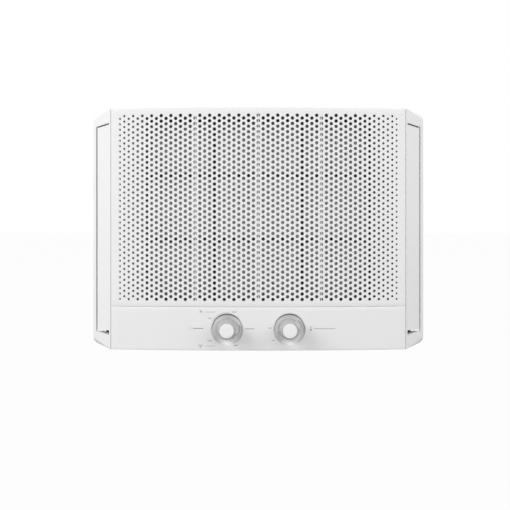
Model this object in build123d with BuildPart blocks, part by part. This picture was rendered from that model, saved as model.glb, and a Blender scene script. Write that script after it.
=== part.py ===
from build123d import *
import os
from math import atan2, cos, degrees, radians, sin, sqrt

os.makedirs("parts", exist_ok=True)

# A window air conditioner. X runs to the right as seen from the room, the front faces -Y, Z is up.
# The origin is at the bottom centre of the whole object. All sizes are in millimetres.

# ---- driving dimensions: fascia ----
FASCIA_WIDTH = 560.0        # across the rear rim of the fascia
FASCIA_HEIGHT = 387.0
FASCIA_DEPTH = 88.0         # foremost point of the bow to the wall plane
COVER_WIDTH = 475.0         # the bowed front, between the side outlets
BOW_RISE = 14.0             # how far the middle of the front stands before its edges
WALL = 2.4                  # moulded wall
COVER_GAP = 0.6             # seam between neighbouring mouldings
SEAM_HEIGHT = 69.3          # between the control panel and the grille
LEDGE_WIDTH = 15.0          # landing behind each edge of the front cover
LEDGE_SETBACK = 3.0
RIM_CORNER = 10.0           # corner radius of the side frames at the rim, nothing at the front corner
CORNER_FACETS = 3           # flat facets that make up that tapering corner
RIB_DEPTH = 6.0
RIB_WIDTH = 1.8
RIB_SPACING = 100.7
CLIP_WIDTH = 14.0
CLIP_WALL = 2.0
CLIP_SETBACK = 1.6          # tongues behind the bowed panel that they hook
CLIP_REACH = 8.0
CLIP_PLACES = (-190.0, -110.0, 110.0, 190.0)

# ---- driving dimensions: perforation ----
HOLE_DIAMETER = 5.6
ROW_PITCH = 8.76
COLUMN_PITCH = 7.76
EDGE_ZONE = 82.5            # strip at each side in which the holes close up and shrink
PITCH_FALL = 0.0104         # loss of column pitch per millimetre into the edge zone
DIAMETER_FALL = 0.033       # loss of hole diameter per millimetre into the edge zone
HOLE_TOP_MARGIN = 12.6
HOLE_BOTTOM_MARGIN = 11.2
HOLE_SIDE_MARGIN = 14.5

# ---- driving dimensions: side outlets and vanes ----
OUTLET_MARGIN = 22.0        # frame above and below each outlet
OUTLET_START = 6.8          # measured along the flared side from the front corner
OUTLET_END = 71.0
SILL_REACH = 12.0
SILL_START = 2.0            # sill plates begin this far before the outlet
SILL_SPLAY = 4.0            # their inner corners lie this far inside the outlet
VANE_THICKNESS = 2.8
VANE_RECESS = 0.8
VANE_END_GAP = 2.5
VANE_FRONT_GAP = 1.4
VANE_REAR_GAP = 5.2
VANE_FOOT_RISE = 5.0        # the lower end slants up towards the front corner
VANE_BARREL_RADIUS = 3.2
PIVOT_INSET = 6.2           # pivot behind the outlet's front edge
PIVOT_DEPTH = 4.6           # pivot inside the flared face
PIN_RADIUS = 2.0
RUNNING_FIT = 0.05          # radial clearance of every pin and shaft that turns

# ---- driving dimensions: control panel and knobs ----
KNOB_SPACING = 99.4
KNOB_HEIGHT = 33.5
DISH_RADIUS = 25.2
DISH_DEPTH = 7.0
DISH_CORNER = 6.0
KNOB_BASE_RADIUS = 17.0
KNOB_FACE_RADIUS = 12.2
KNOB_PROJECTION = 21.0
KNOB_CLEARANCE = 0.8        # knob's back to the dish floor
CAP_RADIUS = 11.4
CAP_THICKNESS = 1.4
CAP_PROUD = 0.3
POINTER_WIDTH = 11.0
POINTER_RADIUS = 19.6
POINTER_TOP = 17.0
SHAFT_RADIUS = 3.0
SHAFT_HOLE_RADIUS = 5.2
SHAFT_DEPTH_IN_KNOB = 12.0
TEMPERATURE_REST_ANGLE = 31.0
BRACKET_SETBACK = 22.0      # front of the bow to the control bracket
SWITCH_SIZE = 34.0
SWITCH_DEPTH = 22.0
BUSHING_RADIUS = 4.8

# ---- driving dimensions: filter ----
FILTER_WIDTH = 372.0
FILTER_THICKNESS = 4.0
FILTER_SETBACK = 22.0       # foremost point of the bow to the filter's front
FILTER_BAR = 8.0
FILTER_RIB = 6.5
FILTER_RIB_SPACING = 143.0
FILTER_ROWS = (176.0, 280.0, 368.5)
FILTER_CLEARANCE = 0.5
GUIDE_LIP = 7.0
GUIDE_WALL = 2.0
GUIDE_FLANGE = 26.0         # either side of the guide
TAB_WIDTH = 60.0

# ---- driving dimensions: cabinet ----
CABINET_WIDTH = 510.0
CABINET_TOP = 374.0
CABINET_DEPTH = 430.0       # wall plane to the back of the rear guard
CABINET_BEND = 5.0
SEAL_CORNER = 6.0
CABINET_LAP = 18.0          # how far the cabinet reaches into the fascia
VANE_NOTCH = 14.0           # cut back from the cabinet's front edge, where the vanes swing in
SHEET = 1.2
RUNNER_HEIGHT = 3.4
RUNNER_WIDTH = 36.0
RUNNER_SPACING = 380.0
PAN_WALL = 22.0
PAN_FIT = 0.3               # between the pan's walls and the cabinet
PAN_TONGUE_WIDTH = 410.0
SLOT_LENGTH = 70.0
SLOT_WIDTH = 5.0
SLOT_PITCH = 13.0
GUARD_SLOT_LENGTH = 62.0
GUARD_SLOT_WIDTH = 7.0
GUARD_SLOT_PITCH = 12.0
DRAIN_RADIUS = 8.0
DRAIN_NECK = 7.0
DRAIN_BORE = 4.8
DRAIN_REACH = 12.0
SCREW_RADIUS = 1.9
SCREW_HEAD_RADIUS = 4.0
SCREW_HEAD_HEIGHT = 2.2
SCREW_LENGTH = 9.0
SCREW_CLEARANCE = 0.3
LUG_SIZE = 16.0
LUG_THICKNESS = 8.0
LUG_SPACING = 430.0
LUG_SETBACK = 12.0          # middle of a lug to the wall plane
GLAND_RADIUS = 5.9
GLAND_FLANGE = 7.6
GLAND_BORE = 4.0
GLAND_HEIGHT = 14.5
GLAND_SETBACK = 9.0         # middle of the gland to the wall plane

# ---- driving dimensions: cooling circuit and fans ----
FAN_HEIGHT = 205.0          # height of the fan shaft
EVAPORATOR_WIDTH = 340.0
EVAPORATOR_BOTTOM = 80.0
EVAPORATOR_TOP = 370.0
EVAPORATOR_DEPTH = 40.0
EVAPORATOR_SETBACK = 36.0   # foremost point of the bow to the evaporator
CONDENSER_WIDTH = 410.0
CONDENSER_BOTTOM = 30.0
CONDENSER_TOP = 362.0
CONDENSER_DEPTH = 44.0
CONDENSER_GAP = 8.0         # condenser to the rear guard
FIN_PITCH = 8.0
FIN_THICKNESS = 0.4
TUBE_RADIUS = 4.7
TUBE_BORE = 4.2
TUBE_PITCH = 25.4
BLOWER_RADIUS = 98.0
BLOWER_WIDTH = 64.0
BLOWER_BLADES = 36
SCROLL_DEPTH = 84.0
FAN_RADIUS = 150.0
FAN_BLADES = 5
FAN_SHAFT_RADIUS = 6.0
BLADE_PITCH_ANGLE = 28.0
BLADE_CHORD = 88.0
BLADE_ROOT = 24.0           # inside the hub
FAN_HUB_RADIUS = 34.0
MOTOR_RADIUS = 55.0
MOTOR_LENGTH = 84.0
COMPRESSOR_RADIUS = 58.0
COMPRESSOR_HEIGHT = 200.0
COMPRESSOR_X = 150.0
GROMMET_HEIGHT = 12.0
CONTROL_BOX_WIDTH = 330.0
CAPACITOR_START = 90.0
CAPACITOR_LENGTH = 58.0
CAPACITOR_WIDTH = 44.0
CAPACITOR_HEIGHT = 30.0
PIPE_RADIUS = 4.7
CAPILLARY_RADIUS = 1.6

# ---- places worked out from the driving dimensions ----
BOW_RADIUS = (COVER_WIDTH**2 / 4 + BOW_RISE**2) / (2 * BOW_RISE)
BOW_AT_KNOB = BOW_RADIUS - sqrt(BOW_RADIUS**2 - KNOB_SPACING**2 / 4)
KNOB_REACH = KNOB_PROJECTION + CAP_PROUD - BOW_AT_KNOB
OVERALL_DEPTH = KNOB_REACH + FASCIA_DEPTH + CABINET_DEPTH + DRAIN_REACH
FRONT_Y = KNOB_REACH - OVERALL_DEPTH / 2
WALL_Y = FRONT_Y + FASCIA_DEPTH
BACK_Y = WALL_Y + CABINET_DEPTH
HALF_COVER = COVER_WIDTH / 2
COVER_EDGE_Y = FRONT_Y + BOW_RISE
SIDE_ANGLE = atan2(WALL_Y - COVER_EDGE_Y, FASCIA_WIDTH / 2 - HALF_COVER)
INNER_BOW = WALL + COVER_GAP
PAN_BOTTOM = RUNNER_HEIGHT
CABINET_BOTTOM = PAN_BOTTOM + 2 * SHEET
HALF_CABINET = CABINET_WIDTH / 2
EVAPORATOR_Y = FRONT_Y + EVAPORATOR_SETBACK
SCROLL_Y = WALL_Y + 2.0
BULKHEAD_Y = SCROLL_Y + SCROLL_DEPTH
MOTOR_Y = BULKHEAD_Y + SHEET + 12.0
CONDENSER_Y = BACK_Y - SHEET - CONDENSER_GAP - CONDENSER_DEPTH
SHROUD_Y = CONDENSER_Y - 10.0
FAN_Y = SHROUD_Y - 42.0
OUTLET_BOTTOM = OUTLET_MARGIN
OUTLET_TOP = FASCIA_HEIGHT - OUTLET_MARGIN
BLADE_TIP = FAN_RADIUS - 6.0


def bow_y(x, inset=0.0):
    """How far back the bowed front lies at x, or a surface that runs inset behind it."""
    return FRONT_Y + BOW_RADIUS - sqrt((BOW_RADIUS - inset) ** 2 - x * x)


def side_point(along, outward, side=1):
    """A point by its distance along a flared side from the front corner, and out of its face."""
    x = HALF_COVER + along * cos(SIDE_ANGLE) + outward * sin(SIDE_ANGLE)
    y = COVER_EDGE_Y + along * sin(SIDE_ANGLE) - outward * cos(SIDE_ANGLE)
    return (side * x, y)


def bowed_strip(half_width, front, back):
    """A closed outline in plan between two insets of the bow."""
    with BuildLine() as strip:
        outer = ThreePointArc(
            (-half_width, bow_y(half_width, front)),
            (0, bow_y(0, front)),
            (half_width, bow_y(half_width, front)),
        )
        inner = ThreePointArc(
            (-half_width, bow_y(half_width, back)),
            (0, bow_y(0, back)),
            (half_width, bow_y(half_width, back)),
        )
        Line(outer @ 0, inner @ 0)
        Line(outer @ 1, inner @ 1)
    return strip.line


def front_plane(x, z, y):
    """A plane that faces the room, with its own X to the right and Y up."""
    return Plane(origin=(x, y, z), x_dir=(1, 0, 0), z_dir=(0, -1, 0))


def rear_plane(x, z, y):
    """A plane that faces away from the room, with its own Y up."""
    return Plane(origin=(x, y, z), x_dir=(-1, 0, 0), z_dir=(0, 1, 0))


def side_plane(x, y, z, side):
    """A plane that faces out of the left (-1) or right (+1) side."""
    return Plane(origin=(x, y, z), x_dir=(0, side, 0), z_dir=(side, 0, 0))


def rim_facets(inset):
    """Planes of the flat facets at the four rim corners, facing in and moved in by the inset.
    The corners are sharp at the front edge of the flared sides and widen to the rim."""
    centre = Vector(0, WALL_Y, FASCIA_HEIGHT / 2)
    rim_x = FASCIA_WIDTH / 2 - RIM_CORNER
    facets = []
    for side in (-1, 1):
        for level, up in ((0, -1), (FASCIA_HEIGHT, 1)):
            front_corner = Vector(side * HALF_COVER, COVER_EDGE_Y, level)
            turns = [radians(90 / CORNER_FACETS * number) for number in range(CORNER_FACETS + 1)]
            rim = [
                Vector(
                    side * (rim_x + RIM_CORNER * cos(turn)),
                    WALL_Y,
                    level + up * RIM_CORNER * (sin(turn) - 1),
                )
                for turn in turns
            ]
            for first, second in zip(rim, rim[1:]):
                inward = (first - front_corner).cross(second - front_corner).normalized()
                if inward.dot(centre - front_corner) < 0:
                    inward = inward * -1
                facets.append(Plane(origin=front_corner + inward * inset, z_dir=inward))
    return facets


def pipe(route, radius, bend):
    """A solid tube of the given radius along straight runs joined by arcs."""
    with BuildPart() as tube:
        with BuildLine() as path:
            FilletPolyline(*route, radius=bend)
        with BuildSketch(Plane(origin=path.line @ 0, z_dir=path.line % 0)):
            Circle(radius)
        sweep()
    return tube.part


# ---- fascia frame with its two side outlets ----
inner_corner = side_point(WALL / sin(SIDE_ANGLE) + LEDGE_SETBACK, -WALL)
lug_y = WALL_Y - LUG_SETBACK
with BuildPart() as front_bezel:
    with BuildSketch():
        with BuildLine():
            bow = ThreePointArc(
                (-HALF_COVER, bow_y(HALF_COVER, INNER_BOW)),
                (0, bow_y(0, INNER_BOW)),
                (HALF_COVER, bow_y(HALF_COVER, INNER_BOW)),
            )
            Polyline(
                bow @ 1,
                (HALF_COVER, COVER_EDGE_Y),
                (FASCIA_WIDTH / 2, WALL_Y),
                (-FASCIA_WIDTH / 2, WALL_Y),
                (-HALF_COVER, COVER_EDGE_Y),
                bow @ 0,
            )
        make_face()
    extrude(amount=FASCIA_HEIGHT)
    for facet in rim_facets(0):
        split(bisect_by=facet, keep=Keep.TOP)
    # The cavity is open to the rear, and open to the front between the two ledges.
    with BuildPart(mode=Mode.SUBTRACT):
        with BuildSketch(Plane.XY.offset(WALL)):
            with BuildLine():
                rear = side_point(100, -WALL)
                ledge = (HALF_COVER - LEDGE_WIDTH, inner_corner[1])
                Polyline(
                    (-rear[0], rear[1]),
                    (-inner_corner[0], inner_corner[1]),
                    (-ledge[0], ledge[1]),
                    (-ledge[0], FRONT_Y - 1),
                    (ledge[0], FRONT_Y - 1),
                    ledge,
                    inner_corner,
                    rear,
                    close=True,
                )
            make_face()
        extrude(amount=FASCIA_HEIGHT - 2 * WALL)
        for facet in rim_facets(WALL):
            split(bisect_by=facet, keep=Keep.TOP)
    for side in (-1, 1):
        with BuildSketch(Plane.XY.offset(OUTLET_BOTTOM)):
            with BuildLine():
                Polyline(
                    side_point(OUTLET_START, -2 * WALL, side),
                    side_point(OUTLET_START, WALL, side),
                    side_point(OUTLET_END, WALL, side),
                    side_point(OUTLET_END, -2 * WALL, side),
                    close=True,
                )
            make_face()
        extrude(amount=OUTLET_TOP - OUTLET_BOTTOM, mode=Mode.SUBTRACT)
        for level in (OUTLET_BOTTOM - WALL, OUTLET_TOP):
            with BuildSketch(Plane.XY.offset(level)):
                with BuildLine():
                    Polyline(
                        side_point(OUTLET_START - SILL_START, -WALL / 2, side),
                        side_point(OUTLET_END + 1, -WALL / 2, side),
                        side_point(OUTLET_END - SILL_SPLAY, -SILL_REACH, side),
                        side_point(OUTLET_START + SILL_SPLAY, -SILL_REACH, side),
                        close=True,
                    )
                make_face()
                with Locations(side_point(OUTLET_START + PIVOT_INSET, -PIVOT_DEPTH, side)):
                    Circle(PIN_RADIUS + RUNNING_FIT, mode=Mode.SUBTRACT)
            extrude(amount=WALL)
        # A lug under the top wall takes a screw from inside the cabinet.
        lug_bottom = CABINET_TOP + PAN_FIT
        with BuildSketch(Plane.XY.offset(lug_bottom)):
            with Locations((side * LUG_SPACING / 2, lug_y)):
                Rectangle(LUG_SIZE, LUG_THICKNESS)
        extrude(amount=FASCIA_HEIGHT - WALL / 2 - lug_bottom)
        with Locations(Plane(origin=(side * LUG_SPACING / 2, lug_y, lug_bottom), z_dir=(0, 0, -1))):
            Hole(SCREW_RADIUS + SCREW_CLEARANCE / 2, depth=SCREW_LENGTH)
    # Slot in the top wall through which the filter is lifted out.
    filter_front = FRONT_Y + FILTER_SETBACK
    with BuildSketch(Plane.XY.offset(FASCIA_HEIGHT - 2 * WALL)):
        with Locations((0, filter_front + FILTER_THICKNESS / 2)):
            Rectangle(FILTER_WIDTH + 4, FILTER_THICKNESS + 3)
    extrude(amount=3 * WALL, mode=Mode.SUBTRACT)
front_bezel.part.label = "front_bezel"
export_step(front_bezel.part, "parts/front_bezel.step")

# ---- cable gland in the cabinet's right side, inside the fascia's rim ----
gland_plane = Plane(
    origin=(HALF_CABINET, WALL_Y - GLAND_SETBACK, GLAND_HEIGHT),
    x_dir=(0, 1, 0),
    z_dir=(1, 0, 0),
)
with BuildPart() as cable_gland:
    with BuildSketch(gland_plane.offset(-SHEET - 3)):
        Circle(GLAND_RADIUS)
    extrude(amount=SHEET + 3)
    with BuildSketch(gland_plane):
        Circle(GLAND_FLANGE)
    extrude(amount=2.4)
    with BuildSketch(gland_plane.offset(-SHEET - 3)):
        Circle(GLAND_FLANGE - 0.2)
    extrude(amount=2.6)
    with Locations(gland_plane.offset(2.4)):
        Hole(GLAND_BORE, depth=12)
cable_gland.part.label = "cable_gland"
export_step(cable_gland.part, "parts/cable_gland.step")

# ---- perforated grille: one narrow flat facet of the bow for each column of holes ----
column_places = [0.0]
while True:
    last = column_places[-1]
    step = COLUMN_PITCH - PITCH_FALL * max(0.0, last - (HALF_COVER - EDGE_ZONE))
    if last + step > HALF_COVER - HOLE_SIDE_MARGIN:
        break
    column_places.append(last + step)
column_places = [-x for x in reversed(column_places[1:])] + column_places
grille_half = HALF_COVER - COVER_GAP
grille_bottom = SEAM_HEIGHT + COVER_GAP / 2
facet_edges = [(a + b) / 2 for a, b in zip(column_places, column_places[1:])]
facet_edges = [-grille_half] + facet_edges + [grille_half]
hole_span = FASCIA_HEIGHT - grille_bottom - HOLE_TOP_MARGIN - HOLE_BOTTOM_MARGIN
row_count = int((hole_span - ROW_PITCH / 2) / ROW_PITCH) + 1
middle_column = len(column_places) // 2

with BuildPart() as intake_grille:
    with BuildSketch(Plane.XY.offset(grille_bottom)):
        with BuildLine():
            front_line = [(x, bow_y(x)) for x in facet_edges]
            rear_line = [(x, bow_y(x, WALL)) for x in reversed(facet_edges)]
            Polyline(*front_line, *rear_line, close=True)
        make_face()
    extrude(amount=FASCIA_HEIGHT - grille_bottom)
    # Stiffening ribs down the back, hooks under the frame's top wall, tongues behind the control panel.
    with BuildSketch(Plane.XY.offset(grille_bottom + RIB_DEPTH)):
        for x in (-RIB_SPACING, 0, RIB_SPACING):
            with Locations((x, bow_y(x, WALL / 2) + (RIB_DEPTH + WALL / 2) / 2)):
                Rectangle(RIB_WIDTH, RIB_DEPTH + WALL / 2)
    extrude(amount=FASCIA_HEIGHT - grille_bottom - 2 * RIB_DEPTH)
    for x in CLIP_PLACES:
        behind = bow_y(x, WALL)
        hook_z = FASCIA_HEIGHT - WALL - COVER_GAP - CLIP_WALL / 2
        tongue_z = grille_bottom - CLIP_REACH / 2 + 2
        with Locations((x, behind + CLIP_REACH / 2 - 0.3, hook_z)):
            Box(CLIP_WIDTH, CLIP_REACH + 0.6, CLIP_WALL)
        with Locations((x, behind + CLIP_SETBACK + CLIP_WALL / 2, tongue_z)):
            Box(CLIP_WIDTH, CLIP_WALL, CLIP_REACH + 4)
        with Locations((x, behind + CLIP_WALL / 2 - 0.2, grille_bottom + 2)):
            Box(CLIP_WIDTH, CLIP_WALL + 0.8, 3)
    for number, x in enumerate(column_places):
        left, right = facet_edges[number], facet_edges[number + 1]
        tilt = atan2(bow_y(right) - bow_y(left), right - left)
        facet = Plane(
            origin=(x, bow_y(x) + WALL / 2, 0),
            x_dir=(cos(tilt), sin(tilt), 0),
            z_dir=(sin(tilt), -cos(tilt), 0),
        )
        lowered = ROW_PITCH / 2 if (number - middle_column) % 2 else 0.0
        highest = FASCIA_HEIGHT - HOLE_TOP_MARGIN - lowered
        edge_reach = max(0.0, abs(x) - (HALF_COVER - EDGE_ZONE))
        radius = (HOLE_DIAMETER - DIAMETER_FALL * edge_reach) / 2
        heights = [highest - row * ROW_PITCH for row in range(row_count)]
        with Locations(*[facet * Location((0, height, 0)) for height in heights]):
            Cylinder(radius, 2 * WALL, mode=Mode.SUBTRACT)
intake_grille.part.label = "intake_grille"
export_step(intake_grille.part, "parts/intake_grille.step")

# ---- control panel with a dish round each knob ----
knob_places = {"mode": -KNOB_SPACING / 2, "temperature": KNOB_SPACING / 2}
knob_y = bow_y(KNOB_SPACING / 2)
with BuildPart() as control_panel:
    with BuildSketch():
        add(bowed_strip(HALF_COVER - COVER_GAP, 0, WALL))
        make_face()
    extrude(amount=SEAM_HEIGHT - COVER_GAP / 2)
    for knob_x in knob_places.values():
        with BuildSketch(front_plane(knob_x, KNOB_HEIGHT, knob_y + DISH_DEPTH + WALL)):
            Circle(DISH_RADIUS + WALL)
        extrude(amount=DISH_DEPTH + 0.5)
        profile_plane = Plane(origin=(knob_x, knob_y, KNOB_HEIGHT), x_dir=(1, 0, 0), z_dir=(0, 0, -1))
        with BuildSketch(profile_plane):
            with BuildLine():
                corner = (DISH_RADIUS - DISH_CORNER, -DISH_DEPTH)
                wall_foot = (DISH_RADIUS, DISH_CORNER - DISH_DEPTH)
                Polyline(wall_foot, (DISH_RADIUS, 3), (0, 3), (0, -DISH_DEPTH), corner)
                RadiusArc(corner, wall_foot, -DISH_CORNER)
            make_face()
        revolve(axis=Axis((knob_x, knob_y, KNOB_HEIGHT), (0, -1, 0)), mode=Mode.SUBTRACT)
        with Locations(front_plane(knob_x, KNOB_HEIGHT, knob_y + DISH_DEPTH)):
            Hole(SHAFT_HOLE_RADIUS, depth=3 * WALL)
control_panel.part.label = "control_panel"
export_step(control_panel.part, "parts/control_panel.step")

# ---- knobs, each with its face cap, its pointer and the shaft that turns with it ----
knob_back = -DISH_DEPTH + KNOB_CLEARANCE
bracket_y = FRONT_Y + BRACKET_SETBACK
for name, knob_x in knob_places.items():
    turn = TEMPERATURE_REST_ANGLE if name == "temperature" else 0.0
    knob_axis = Axis((knob_x, knob_y, KNOB_HEIGHT), (0, -1, 0))
    profile_plane = Plane(origin=(knob_x, knob_y, KNOB_HEIGHT), x_dir=(1, 0, 0), z_dir=(0, 0, -1))
    cone = [
        (0, knob_back),
        (KNOB_BASE_RADIUS, knob_back),
        (KNOB_FACE_RADIUS, KNOB_PROJECTION),
        (0, KNOB_PROJECTION),
    ]
    with BuildPart() as knob:
        with BuildSketch(profile_plane):
            with BuildLine():
                Polyline(*cone, close=True)
            make_face()
        revolve(axis=knob_axis)
        fillet(knob.edges().filter_by(GeomType.CIRCLE).group_by(Axis.Y)[0], 0.6)
        with Locations(front_plane(knob_x, KNOB_HEIGHT, knob_y - KNOB_PROJECTION)):
            Hole(CAP_RADIUS, depth=CAP_THICKNESS)
        with BuildSketch(rear_plane(knob_x, KNOB_HEIGHT, knob_y - knob_back)):
            Circle(KNOB_BASE_RADIUS - 2.6)
            Circle(SHAFT_RADIUS + 3.0, mode=Mode.SUBTRACT)
        extrude(amount=-(KNOB_PROJECTION - knob_back - 8.0), taper=8, mode=Mode.SUBTRACT)
        with Locations(rear_plane(knob_x, KNOB_HEIGHT, knob_y - knob_back)):
            Hole(SHAFT_RADIUS, depth=SHAFT_DEPTH_IN_KNOB)
    knob.part.label = f"{name}_knob"
    export_step(knob.part, f"parts/{name}_knob.step")

    with BuildPart() as cap:
        with BuildSketch(front_plane(knob_x, KNOB_HEIGHT, knob_y - KNOB_PROJECTION + CAP_THICKNESS)):
            Circle(CAP_RADIUS)
        extrude(amount=CAP_THICKNESS + CAP_PROUD)
        fillet(cap.edges().filter_by(GeomType.CIRCLE).group_by(Axis.Y)[0], 0.25)
    cap.part.label = f"{name}_knob_cap"
    export_step(cap.part, f"parts/{name}_knob_cap.step")

    pointer_plane = Plane(
        origin=(knob_x, knob_y, KNOB_HEIGHT),
        x_dir=(cos(radians(turn)), 0, sin(radians(turn))),
        z_dir=(sin(radians(turn)), 0, -cos(radians(turn))),
    )
    with BuildPart() as pointer:
        with BuildSketch(pointer_plane):
            with BuildLine():
                Polyline(
                    (KNOB_FACE_RADIUS - 2, knob_back),
                    (POINTER_RADIUS, knob_back),
                    (KNOB_FACE_RADIUS + 1.6, POINTER_TOP),
                    (KNOB_FACE_RADIUS - 2, POINTER_TOP),
                    close=True,
                )
            make_face()
        extrude(amount=POINTER_WIDTH / 2, both=True)
        with BuildSketch(profile_plane):
            with BuildLine():
                Polyline(*cone, close=True)
            make_face()
        revolve(axis=knob_axis, mode=Mode.SUBTRACT)
    pointer.part.label = f"{name}_knob_pointer"
    export_step(pointer.part, f"parts/{name}_knob_pointer.step")

    shaft_front = knob_y - knob_back - SHAFT_DEPTH_IN_KNOB
    shaft_back = bracket_y + SHEET + SWITCH_DEPTH - 4.0
    with BuildPart() as shaft:
        with BuildSketch(front_plane(knob_x, KNOB_HEIGHT, shaft_back)):
            Circle(SHAFT_RADIUS)
        extrude(amount=shaft_back - shaft_front)
        chamfer(shaft.edges().group_by(Axis.Y)[0], 0.5)
    shaft.part.label = f"{name}_shaft"
    export_step(shaft.part, f"parts/{name}_shaft.step")

# ---- switch and thermostat bodies on their bracket ----
for name, body_name in (("mode", "rotary_switch"), ("temperature", "thermostat")):
    knob_x = knob_places[name]
    with BuildPart() as switch_body:
        with BuildSketch(rear_plane(knob_x, KNOB_HEIGHT, bracket_y + SHEET)):
            RectangleRounded(SWITCH_SIZE, SWITCH_SIZE, 3)
        extrude(amount=SWITCH_DEPTH)
        with BuildSketch(front_plane(knob_x, KNOB_HEIGHT, bracket_y + SHEET)):
            Circle(BUSHING_RADIUS)
        extrude(amount=SHEET + 5.0)
        with BuildSketch(rear_plane(knob_x, KNOB_HEIGHT, bracket_y + SHEET + SWITCH_DEPTH)):
            with GridLocations(10, 0, 3, 1):
                Rectangle(0.8, 6.3)
        extrude(amount=8)
        with Locations(front_plane(knob_x, KNOB_HEIGHT, bracket_y - 5.0)):
            Hole(SHAFT_RADIUS + RUNNING_FIT, depth=SWITCH_DEPTH + SHEET + 3.0)
    switch_body.part.label = body_name
    export_step(switch_body.part, f"parts/{body_name}.step")

drip_tray_bottom = EVAPORATOR_BOTTOM - 18.0
with BuildPart() as control_box:
    box_bottom = PAN_BOTTOM + SHEET + 0.4
    box_top = drip_tray_bottom - 0.6
    box_back = EVAPORATOR_Y + EVAPORATOR_DEPTH - 4.0
    with BuildSketch(Plane.XY.offset(box_bottom)):
        with Locations((0, (bracket_y + box_back) / 2)):
            Rectangle(CONTROL_BOX_WIDTH, box_back - bracket_y)
    extrude(amount=box_top - box_bottom)
    with BuildSketch(Plane.XY.offset(box_bottom + SHEET)):
        with Locations((0, (bracket_y + box_back) / 2)):
            Rectangle(CONTROL_BOX_WIDTH - 2 * SHEET, box_back - bracket_y - 2 * SHEET)
    extrude(amount=box_top - box_bottom - 2 * SHEET, mode=Mode.SUBTRACT)
    for knob_x in knob_places.values():
        with Locations(front_plane(knob_x, KNOB_HEIGHT, bracket_y)):
            Hole(BUSHING_RADIUS + 0.2, depth=3 * SHEET)
control_box.part.label = "control_box"
export_step(control_box.part, "parts/control_box.step")

capacitor_y = (bracket_y + box_back) / 2
capacitor_z = box_bottom + SHEET + CAPACITOR_HEIGHT / 2 + 3
terminal_x = CAPACITOR_START + CAPACITOR_LENGTH
with BuildPart() as run_capacitor:
    with BuildSketch(Plane.YZ.offset(CAPACITOR_START)):
        with Locations((capacitor_y, capacitor_z)):
            SlotOverall(CAPACITOR_WIDTH, CAPACITOR_HEIGHT)
    extrude(amount=CAPACITOR_LENGTH)
    with BuildSketch(Plane.YZ.offset(terminal_x)):
        with Locations((capacitor_y - 8, capacitor_z), (capacitor_y + 8, capacitor_z)):
            Rectangle(6.3, 0.8)
    extrude(amount=8)
run_capacitor.part.label = "run_capacitor"
export_step(run_capacitor.part, "parts/run_capacitor.step")

with BuildPart() as capacitor_strap:
    with BuildSketch(Plane.YZ.offset(CAPACITOR_START + 22)):
        with Locations((capacitor_y, capacitor_z)):
            SlotOverall(CAPACITOR_WIDTH + 3, CAPACITOR_HEIGHT + 3)
            SlotOverall(CAPACITOR_WIDTH + 0.2, CAPACITOR_HEIGHT + 0.2, mode=Mode.SUBTRACT)
        with Locations((capacitor_y, box_bottom + SHEET + 0.75)):
            Rectangle(20, 1.5)
    extrude(amount=14)
capacitor_strap.part.label = "capacitor_strap"
export_step(capacitor_strap.part, "parts/capacitor_strap.step")

# ---- one vane in each side outlet, turning on pins at its front edge ----
for side, name in ((-1, "left_vane"), (1, "right_vane")):
    pivot = side_point(OUTLET_START + PIVOT_INSET, -PIVOT_DEPTH, side)
    vane_bottom = OUTLET_BOTTOM + VANE_END_GAP
    vane_top = OUTLET_TOP - VANE_END_GAP
    with BuildPart() as vane:
        with BuildSketch(Plane.XY.offset(vane_bottom)):
            with BuildLine():
                outer_face = -VANE_RECESS
                inner_face = -VANE_RECESS - VANE_THICKNESS
                Polyline(
                    side_point(OUTLET_START + VANE_FRONT_GAP, outer_face, side),
                    side_point(OUTLET_END - VANE_REAR_GAP, outer_face, side),
                    side_point(OUTLET_END - VANE_REAR_GAP, inner_face, side),
                    side_point(OUTLET_START + VANE_FRONT_GAP, inner_face, side),
                    close=True,
                )
            make_face()
            with Locations(pivot):
                Circle(VANE_BARREL_RADIUS)
        extrude(amount=vane_top - vane_bottom)
        foot_front = Vector(*side_point(OUTLET_START, 0, side), vane_bottom + VANE_FOOT_RISE)
        foot_rear = Vector(*side_point(OUTLET_END, 0, side), vane_bottom)
        outward = Vector(*side_point(OUTLET_END, 1, side), vane_bottom) - foot_rear
        slope = (foot_rear - foot_front).cross(outward * side)
        if slope.Z < 0:
            slope = slope * -1
        split(bisect_by=Plane(origin=foot_front, z_dir=slope), keep=Keep.TOP)
        with BuildSketch(Plane.XY.offset(OUTLET_BOTTOM - WALL)):
            with Locations(pivot):
                Circle(PIN_RADIUS)
        extrude(amount=OUTLET_TOP - OUTLET_BOTTOM + 2 * WALL)
    vane.part.label = name
    export_step(vane.part, f"parts/{name}.step")

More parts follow.
